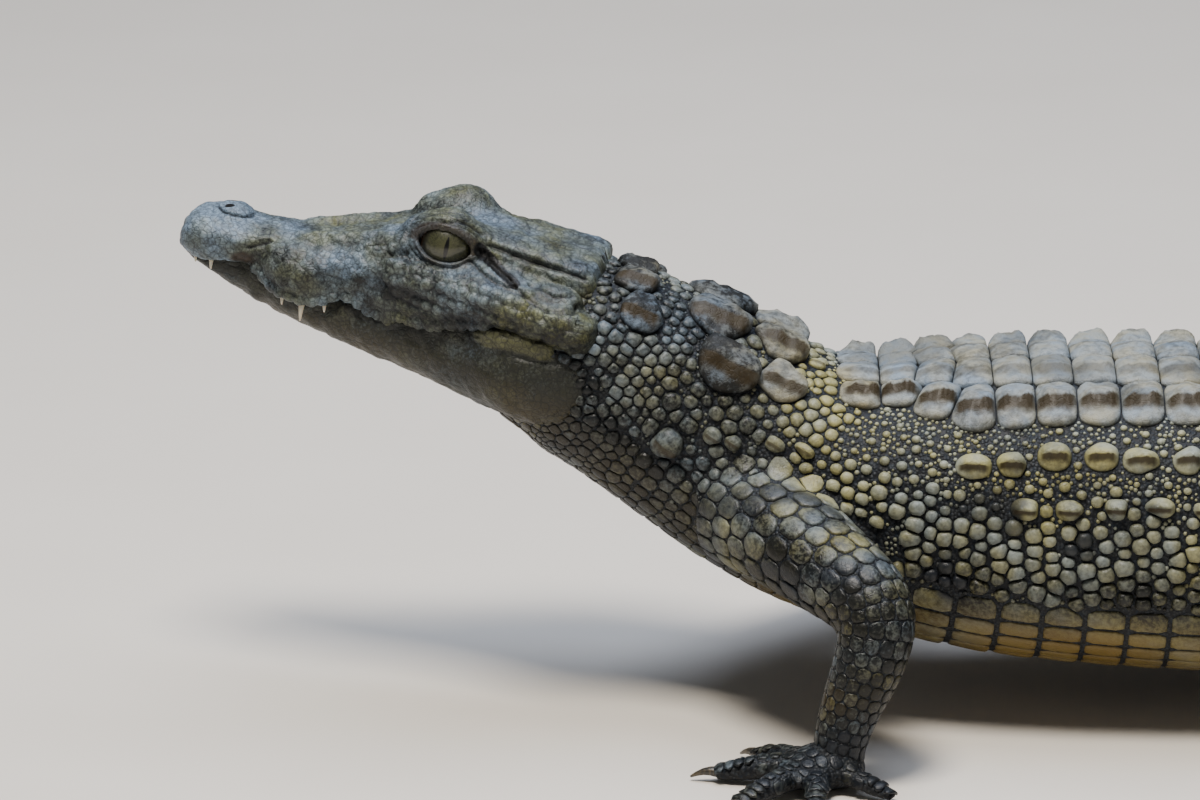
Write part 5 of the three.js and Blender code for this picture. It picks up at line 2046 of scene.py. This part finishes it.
def hide_colours(tree, palette, place, shares):
    """The shared recipe: the hide's colour from the shares in the mesh, and its flecks."""
    fleck = node(tree, "ShaderNodeTexNoise", {
        "Vector": place, "Scale": 1000.0 / palette["fleck"], "Detail": 4.0, "Roughness": 0.65})
    uneven = palette["uneven"]
    uneven = node(tree, "ShaderNodeMapRange", [fleck, 0.3, 0.7, -uneven, uneven], **SOFT)
    light = node(tree, "ShaderNodeMath", [shares.get("light", 0.0), uneven], operation="ADD")
    own = node(tree, "ShaderNodeMath", [shares.get("own", 0.0), palette["own"]], operation="MULTIPLY")
    light = node(tree, "ShaderNodeMath", [light, own], operation="ADD")
    cool, warm = (
        node(tree, "ShaderNodeMix", [light, linear(palette[dark]), linear(palette[pale])], **COLOUR)
        for dark, pale in (("cool_dark", "cool_pale"), ("warm_dark", "warm_pale"))
    )
    drift = node(tree, "ShaderNodeTexNoise", {
        "Vector": place, "Scale": 1000.0 / 7.0, "Detail": 2.0, "Roughness": 0.55})
    drift = node(tree, "ShaderNodeMapRange", [drift, 0.3, 0.7, -0.22, 0.22], **SOFT)
    warmth = node(tree, "ShaderNodeMath", [shares.get("warm", 0.0), drift], operation="ADD")
    colour = node(tree, "ShaderNodeMix", [warmth, cool, warm], **COLOUR)
    if shares:
        dark = node(
            tree, "ShaderNodeMath", [shares["dark"], palette["blotch_strength"]], operation="MULTIPLY"
        )
        colour = node(
            tree, "ShaderNodeMix", [shares["ochre"], colour, linear(palette["ochre"])], **COLOUR
        )
        # blue-black: blotches, and on the head also painted shade in creases and on the jaw
        colour = node(tree, "ShaderNodeMix", [dark, colour, linear(palette["blotch_and_shade"])], **COLOUR)
    return colour, fleck


print("the hide's palette:", *(value for value in PALETTE.values() if isinstance(value, str)))

# %% [markdown]
# ### Scales: keratin, grown and worn
# A scale's keratin has an IOR of about 1.54. The eye sees a dull top with a little soft gloss where
# it is worn, a pale rim, brown horn below a keel with painted shade over it, a painted highlight on
# the crown, and painted shade in the gap round it. Its finest growth lines, at 0.1 mm, are too fine
# to show, so they are drawn at 0.9 mm and the fields at 1.6 mm. Armour grows over bone, stands in
# the weather and is chalkier.

# %% Scale keratin
def keratin(name, palette, roughness, relief):
    """Scale keratin with a relief in mm: painted shade in the gaps, brown horn with painted shade
    below a keel, and a painted highlight on the crown.
    """
    made, tree, place, shares = new_material(
        name, (*MARKINGS, "lift", "under", "rearward", "downward"))
    colour, fleck = hide_colours(tree, palette, place, shares)
    # below a keel: brown horn, made darker as painted shade
    wave = node(tree, "ShaderNodeMapRange", [fleck, 0.3, 0.7, -0.02, 0.02], **SOFT)
    across = node(tree, "ShaderNodeMath", [shares["downward"], wave], operation="ADD")
    keel = node(tree, "ShaderNodeMapRange", [across, -0.03, 0.06, 0.0, 1.0], **SOFT)
    rim = node(tree, "ShaderNodeMapRange", [across, 0.24, 0.56, 1.0, 0.0], **SOFT)
    keel_shade_mask = node(tree, "ShaderNodeMath", [keel, rim], operation="MULTIPLY")
    ends = node(tree, "ShaderNodeMath", [shares["rearward"]], operation="ABSOLUTE")
    ends = node(tree, "ShaderNodeMapRange", [ends, 0.55, 0.85, 1.0, 0.0], **SOFT)
    keel_shade_mask = node(tree, "ShaderNodeMath", [keel_shade_mask, ends], operation="MULTIPLY")
    depth = node(tree, "ShaderNodeMath", [shares["under"], palette["under"]], operation="MULTIPLY")
    keel_shade_mask = node(tree, "ShaderNodeMath", [keel_shade_mask, depth], operation="MULTIPLY")
    colour = node(tree, "ShaderNodeMix", [keel_shade_mask, colour, linear(palette["keel_shade_brown"])], **COLOUR)
    # painted highlight: the crown of each scale is lightened
    crown = node(tree, "ShaderNodeMapRange", [shares["lift"], 0.55, 1.0, 0.0, 0.12], **SOFT)
    colour = node(
        tree, "ShaderNodeMix", [crown, colour, linear("#D8D6C4")], blend_type="SOFT_LIGHT", **COLOUR
    )
    # painted shade: the foot of each scale is darkened where it meets the gap
    gap = node(tree, "ShaderNodeMapRange", [shares["lift"], 0.02, 0.5, 0.92, 0.0], **SOFT)
    colour = node(tree, "ShaderNodeMix", [gap, colour, linear("#070B12")], **COLOUR)
    fine = node(tree, "ShaderNodeTexNoise", {
        "Vector": place, "Scale": 1000.0 / 0.9, "Detail": 5.0, "Roughness": 0.7})
    fine = node(tree, "ShaderNodeMath", [fine, 0.7], operation="MULTIPLY")
    fields = node(
        tree, "ShaderNodeTexVoronoi", {"Vector": place, "Scale": 1000.0 / 1.6},
        feature="DISTANCE_TO_EDGE",
    )
    fields = node(tree, "ShaderNodeMapRange", [fields, 0.0, 0.12, 0.0, 1.0], **SOFT)
    fields = node(tree, "ShaderNodeMath", [fields, 0.35], operation="MULTIPLY")
    height = node(tree, "ShaderNodeMath", [fine, fields], operation="ADD")
    bump = node(
        tree, "ShaderNodeBump", {"Height": height, "Strength": 0.55, "Distance": relief / 1000}
    )
    rough = node(
        tree, "ShaderNodeMapRange", [fleck, 0.3, 0.7, roughness - 0.07, roughness + 0.09], **SOFT
    )
    dull = node(tree, "ShaderNodeMath", [shares["under"], 0.14], operation="MULTIPLY")
    rough = node(tree, "ShaderNodeMath", [rough, dull], operation="ADD")
    surface = node(tree, "ShaderNodeBsdfPrincipled", {
        "Base Color": colour, "Roughness": rough, "Normal": bump, "IOR": 1.54,
        "Specular IOR Level": 0.26,  # half the usual, because dust and wear take the gloss
        "Coat Weight": 0.06, "Coat Roughness": 0.25})
    node(tree, "ShaderNodeOutputMaterial", {"Surface": surface})
    print(name, "has", len(tree.nodes), "nodes")
    return made


scale_horn = keratin("scale keratin, worn", PALETTE, 0.42, 0.22)
armour = dict(PALETTE, warm_pale="#938D74", warm_dark="#1C1910", cool_pale="#76879A", fleck=2.4,
              uneven=0.3, own=0.16)
armour_horn = keratin("armour keratin over bone, weathered", armour, 0.5, 0.45)

# %% [markdown]
# ### Hide between the scales: soft and wrinkled
# Only a line of it shows beside each scale. It is duller than horn, coloured nearly black as painted
# shade, and wrinkles into granules about 1 mm wide, which catch a little light on their crowns.

# %% Soft hide
soft_hide, tree, place, _ = new_material("crocodile hide, soft and granular")
# nearly black: painted shade in the gaps between the scales
shaded_hide_palette = dict(PALETTE, cool_dark="#070A10", cool_pale="#334558", warm_dark="#0B0D10",
                    warm_pale="#3D4347")
colour, fleck = hide_colours(tree, shaded_hide_palette, place, {})
grain = node(
    tree, "ShaderNodeTexVoronoi", {"Vector": place, "Scale": 1000.0 / 1.0}, feature="F1"
)
crown = node(tree, "ShaderNodeMapRange", [grain, 0.15, 0.75, 1.0, 0.0], **SOFT)
pale = node(tree, "ShaderNodeMath", [crown, 0.25], operation="MULTIPLY")
colour = node(tree, "ShaderNodeMix", [pale, colour, linear("#4F5355")], **COLOUR)
surface = node(tree, "ShaderNodeBsdfPrincipled", {
    "Base Color": colour,
    "Roughness": node(tree, "ShaderNodeMapRange", [fleck, 0.3, 0.7, 0.5, 0.66], **SOFT),
    "Normal": node(tree, "ShaderNodeBump", {"Height": crown, "Strength": 0.8, "Distance": 0.00028}),
    "IOR": 1.5, "Specular IOR Level": 0.25})
node(tree, "ShaderNodeOutputMaterial", {"Surface": surface})
print("soft hide has", len(tree.nodes), "nodes")

# %% [markdown]
# ### The head's hide: stretched on bone
# Here the hide is thin, hard and dull, blue-grey with olive. The eye sees it finely crazed, with
# dark specks, a yellow pad at the mouth's corner, red-brown lids, and an ear slit painted black as
# painted shade: nothing shines in it, so its roughness goes to 1. Crazing is really about 1 mm wide,
# and is drawn at 1.7 mm so that it shows.

# %% Hide on bone
head_finish, tree, place, shares = new_material(
    "crocodile hide, stretched on bone", (*MARKINGS, "lift", "yellow", "red", "slit"))
# the pale blue is also reached on the snout tip, where it is a painted reflection of the sky
head_palette = dict(PALETTE, cool_dark="#10161B", cool_pale="#8195A8", warm_dark="#16160E",
                    warm_pale="#7F8158", fleck=0.9, uneven=0.17, own=0.08, blotch_strength=0.85)
colour, fleck = hide_colours(tree, head_palette, place, shares)
for share, strength, hex_value in (("yellow", 0.4, "#5F5F44"), ("red", 0.8, "#33261A")):
    amount = node(tree, "ShaderNodeMath", [shares[share], strength], operation="MULTIPLY")
    colour = node(tree, "ShaderNodeMix", [amount, colour, linear(hex_value)], **COLOUR)
specks = node(tree, "ShaderNodeTexNoise", {
    "Vector": place, "Scale": 1000.0 / 0.85, "Detail": 2.0, "Roughness": 0.5})
crazing = node(
    tree, "ShaderNodeTexVoronoi", {"Vector": place, "Scale": 1000.0 / 1.7},
    feature="DISTANCE_TO_EDGE",
)
for source, low, high, at_low, at_high, hex_value in (
    (specks, 0.60, 0.72, 0.0, 0.4, "#1A1C1F"),
    (shares["lift"], 0.35, 0.62, 0.5, 0.0, "#1B1D20"),
    # the slits painted near black: painted shade
    (shares["slit"], 0.14, 0.38, 0.0, 1.0, "#050505"),
    (crazing, 0.02, 0.14, 0.42, 0.0, "#121416"),
):
    amount = node(tree, "ShaderNodeMapRange", [source, low, high, at_low, at_high], **SOFT)
    colour = node(tree, "ShaderNodeMix", [amount, colour, linear(hex_value)], **COLOUR)
fine = node(tree, "ShaderNodeTexNoise", {
    "Vector": place, "Scale": 1000.0 / 0.7, "Detail": 4.0, "Roughness": 0.65})
fine = node(tree, "ShaderNodeMath", [fine, 0.8], operation="MULTIPLY")
fields = node(tree, "ShaderNodeMapRange", [crazing, 0.0, 0.16, 0.0, 1.0], **SOFT)
fields = node(tree, "ShaderNodeMath", [fields, 0.5], operation="MULTIPLY")
height = node(tree, "ShaderNodeMath", [fine, fields], operation="ADD")
rough = node(tree, "ShaderNodeMapRange", [fleck, 0.3, 0.7, 0.42, 0.6], **SOFT)
surface = node(tree, "ShaderNodeBsdfPrincipled", {
    "Base Color": colour,
    "Roughness": node(tree, "ShaderNodeMath", [rough, shares["slit"]], operation="MAXIMUM"),
    "Normal": node(tree, "ShaderNodeBump", {"Height": height, "Strength": 0.6, "Distance": 0.00022}),
    "IOR": 1.54, "Specular IOR Level": 0.25, "Coat Weight": 0.06, "Coat Roughness": 0.3})
node(tree, "ShaderNodeOutputMaterial", {"Surface": surface})
print("the head's hide has", len(tree.nodes), "nodes")

# %% [markdown]
# ### Eyes: wet cornea over an olive iris
# A cornea is clear, wet and smooth, IOR 1.38, so the eye sees one sharp highlight over a duller
# iris. A second shell of glass could do that. A clear coat is simpler and bakes well. Radial threads,
# a dark ring and the slit follow the eyeball's own shares: mm aside and up from the iris's middle.

# %% Eye
eye_finish, tree, place, shares = new_material("crocodile eye, wet", ("aside", "upright"))
aside, upright = shares["aside"], shares["upright"]
squares = [node(tree, "ShaderNodeMath", [way, 2.0], operation="POWER") for way in (aside, upright)]
out = node(tree, "ShaderNodeMath", squares, operation="ADD")
out = node(tree, "ShaderNodeMath", [out], operation="SQRT")
turned = node(tree, "ShaderNodeMath", [upright, aside], operation="ARCTAN2")
threads_at = node(tree, "ShaderNodeCombineXYZ", {
    "X": node(tree, "ShaderNodeMath", [turned, 5.0], operation="MULTIPLY"),
    "Y": node(tree, "ShaderNodeMath", [out, 0.35], operation="MULTIPLY")})
threads = node(tree, "ShaderNodeTexNoise", {
    "Vector": threads_at, "Scale": 3.0, "Detail": 4.0, "Roughness": 0.7})
amount = node(tree, "ShaderNodeMapRange", [threads, 0.32, 0.68, 0.0, 1.0], **SOFT)
colour = node(tree, "ShaderNodeMix", [amount, linear("#191B12"), linear("#44462F")], **COLOUR)
# the slit: a lens shape about 1.2 mm wide and 7 mm tall
tall = node(tree, "ShaderNodeMath", [upright, 3.5], operation="DIVIDE")
tall = node(tree, "ShaderNodeMath", [tall, 2.0], operation="POWER")
wide = node(tree, "ShaderNodeMath", [1.0, tall], operation="SUBTRACT")
wide = node(tree, "ShaderNodeMath", [wide, 0.58], operation="MULTIPLY")
edge = node(tree, "ShaderNodeMath", [aside], operation="ABSOLUTE")
edge = node(tree, "ShaderNodeMath", [edge, wide], operation="SUBTRACT")
for source, low, high, at_low, at_high, hex_value in (
    (out, 0.8, 4.6, 0.35, 0.0, "#53533A"),  # paler round the slit
    (out, IRIS_RADIUS - 1.9, IRIS_RADIUS - 0.3, 0.0, 1.0, "#1B1A12"),  # the dark ring
    (out, IRIS_RADIUS - 0.1, IRIS_RADIUS + 0.5, 0.0, 1.0, "#3A2B20"),  # beyond the iris
    (edge, -0.05, 0.16, 1.0, 0.0, "#030303"),
):
    amount = node(tree, "ShaderNodeMapRange", [source, low, high, at_low, at_high], **SOFT)
    colour = node(tree, "ShaderNodeMix", [amount, colour, linear(hex_value)], **COLOUR)
bump = node(tree, "ShaderNodeBump", {"Height": threads, "Strength": 0.25, "Distance": 0.0002})
surface = node(tree, "ShaderNodeBsdfPrincipled", {
    "Base Color": colour, "Normal": bump, "Roughness": 0.35, "IOR": 1.38, "Coat Weight": 1.0,
    "Coat Roughness": 0.03, "Coat IOR": 1.38})
node(tree, "ShaderNodeOutputMaterial", {"Surface": surface})
print("the eye has", len(tree.nodes), "nodes")

# %% [markdown]
# ### Teeth and claws: enamel and horn
# Enamel is dense, IOR 1.62, smooth and a little translucent: the eye sees a clean highlight on
# ivory. Claw horn grows in layers that wear to a paler tip and is opaque, IOR 1.54. Both have fine
# streaks along them. Real ones are 0.1 mm apart and would not show, so these are 0.7 to 0.8 mm.

# %% Enamel and claw horn
def streaked_cone(name, root_hex, tip_hex, roughness, streak, ior, scatter):
    """A finish that changes colour from root to tip, with streaks of a size in mm along it."""
    made, tree, place, shares = new_material(name, ("towards_tip",))
    stretch = node(tree, "ShaderNodeMapping", {"Vector": place, "Scale": (1, 1, 0.25)})
    streaks = node(tree, "ShaderNodeTexNoise", {
        "Vector": stretch, "Scale": 1000.0 / streak, "Detail": 3.0, "Roughness": 0.55})
    colour = node(
        tree, "ShaderNodeMix", [shares["towards_tip"], linear(root_hex), linear(tip_hex)], **COLOUR
    )
    amount = node(tree, "ShaderNodeMapRange", [streaks, 0.4, 0.7, 0.0, 0.35], **SOFT)
    colour = node(tree, "ShaderNodeMix", [amount, colour, linear("#7A6A4C")], **COLOUR)
    bump = node(tree, "ShaderNodeBump", {"Height": streaks, "Strength": 0.35, "Distance": 0.0001})
    surface = node(tree, "ShaderNodeBsdfPrincipled", {
        "Base Color": colour, "Normal": bump, "Roughness": roughness, "IOR": ior,
        "Subsurface Weight": scatter, "Subsurface Scale": 0.0008})
    node(tree, "ShaderNodeOutputMaterial", {"Surface": surface})
    print(name, "has", len(tree.nodes), "nodes")
    return made


enamel = streaked_cone("tooth enamel, ivory", "#A39A80", "#D9D3C0", 0.25, 0.8, 1.62, 0.15)
claw_horn = streaked_cone("claw horn, dark", "#17181A", "#38332B", 0.34, 0.7, 1.54, 0.0)

# %% [markdown]
# ## Finishes and bodies
# Each piece gets its finish, says which imported nodes it is seen in place of, and rides on the one
# body there is.

# %% Finishes and bodies
flesh = [
    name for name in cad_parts
    if not name.startswith("eye") and "_claw_" not in name and name not in ("head", "lower_jaw")
]
tail_nodes = [name for name in flesh if name.startswith("tail")]
replaced = {"skin_body": flesh, "skin_head": ["head"], "skin_jaw": ["lower_jaw"], "teeth": ["head"],
            "crest": tail_nodes, "coat_tail": tail_nodes, "coat_neck": ["neck"],
            "coat_granules": ["neck", "trunk"], "eye_ball_left": ["eye_left"],
            "eye_ball_right": ["eye_right"]}
replaced.update((piece.name, [name]) for name, piece in claws.items())
for piece in coat:
    if "leg_" in piece.name:
        leg = piece.name.removeprefix("coat_")
        replaced[piece.name] = [name for name in flesh if name.startswith(leg)]
    else:
        replaced.setdefault(piece.name, ["trunk"])
for pieces, finish, slot in (
    ((skin,), soft_hide, "skin"),
    ((head, jaw), head_finish, "skin"),
    ((teeth,), enamel, "tooth"),
    ((crest, granules, *coat), scale_horn, "skin"),
    (eyes, eye_finish, "eye"),
    (claws.values(), claw_horn, "claw"),
):
    for piece in pieces:
        piece.data.materials.clear()
        piece.data.materials.append(armour_horn if piece.name == "coat_back" else finish)
        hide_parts(*replaced[piece.name])
        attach(piece, "root")
print(len(replaced), "pieces ride on the root")

# %% [markdown]
# ## Floor and light
# A pale matt floor shows a model's shape best. It is one wide sheet, so it looks the same from all
# sides. The light is soft: a lamp over the animal's left shoulder, a cool one behind it for the
# back's edge, a weak one from the left for the belly, and a pale sky. Paper is matt, IOR 1.5, and
# only drifts a little in tone, over 90 mm.

# %% Studio
def lamp(name, place, aim, size, power, colour):
    """A square soft lamp that points at aim, with both in metres."""
    light = bpy.data.lights.new(name, "AREA")
    light.size = size
    light.energy = power
    light.color = linear(colour)[:3]
    made = bpy.data.objects.new(name, light)
    made.location = place
    heading = np.array(aim) - np.array(place)
    yaw = math.atan2(heading[1], heading[0])
    pitch = math.atan2(math.hypot(heading[0], heading[1]), -heading[2])
    made.rotation_euler = (pitch, 0, yaw - math.pi / 2)
    bpy.context.scene.collection.objects.link(made)
    return made


lamp("key", (-0.45, -0.42, 1.45), (-0.15, 0, 0.06), 0.42, 32, "#FFF8EE")
lamp("sky", (-0.1, 0.3, 1.4), (-0.2, 0, 0.06), 0.9, 20, "#DCE8FF")
lamp("fill", (0.6, -1.5, 0.7), (-0.1, 0, 0.05), 1.0, 1.1, "#FFF1E0")

FLOOR_HALF = 8.0
floor_mesh = bpy.data.meshes.new("floor")
floor_mesh.from_pydata(
    [(-FLOOR_HALF, -FLOOR_HALF, 0), (FLOOR_HALF, -FLOOR_HALF, 0),
     (FLOOR_HALF, FLOOR_HALF, 0), (-FLOOR_HALF, FLOOR_HALF, 0)], [], [(0, 1, 2, 3)])
floor = bpy.data.objects.new("floor", floor_mesh)
bpy.context.scene.collection.objects.link(floor)
paper, tree, place, _ = new_material("studio paper, matt")
drift = node(tree, "ShaderNodeTexNoise", {
    "Vector": place, "Scale": 1000.0 / 90.0, "Detail": 3.0, "Roughness": 0.55})
tone = node(tree, "ShaderNodeMix", [drift, linear("#D6CFC4"), linear("#DED8CE")], **COLOUR)
surface = node(tree, "ShaderNodeBsdfPrincipled", {"Base Color": tone, "Roughness": 0.85})
node(tree, "ShaderNodeOutputMaterial", {"Surface": surface})
floor_mesh.materials.append(paper)

world = bpy.data.worlds.new("pale sky")
bpy.context.scene.world = world
world.use_nodes = True
world.node_tree.nodes["Background"].inputs["Color"].default_value = linear("#E4EAF4")
world.node_tree.nodes["Background"].inputs["Strength"].default_value = 0.125
lamps = [made.name for made in bpy.data.objects if made.type == "LIGHT"]
print("studio lamps:", *lamps)
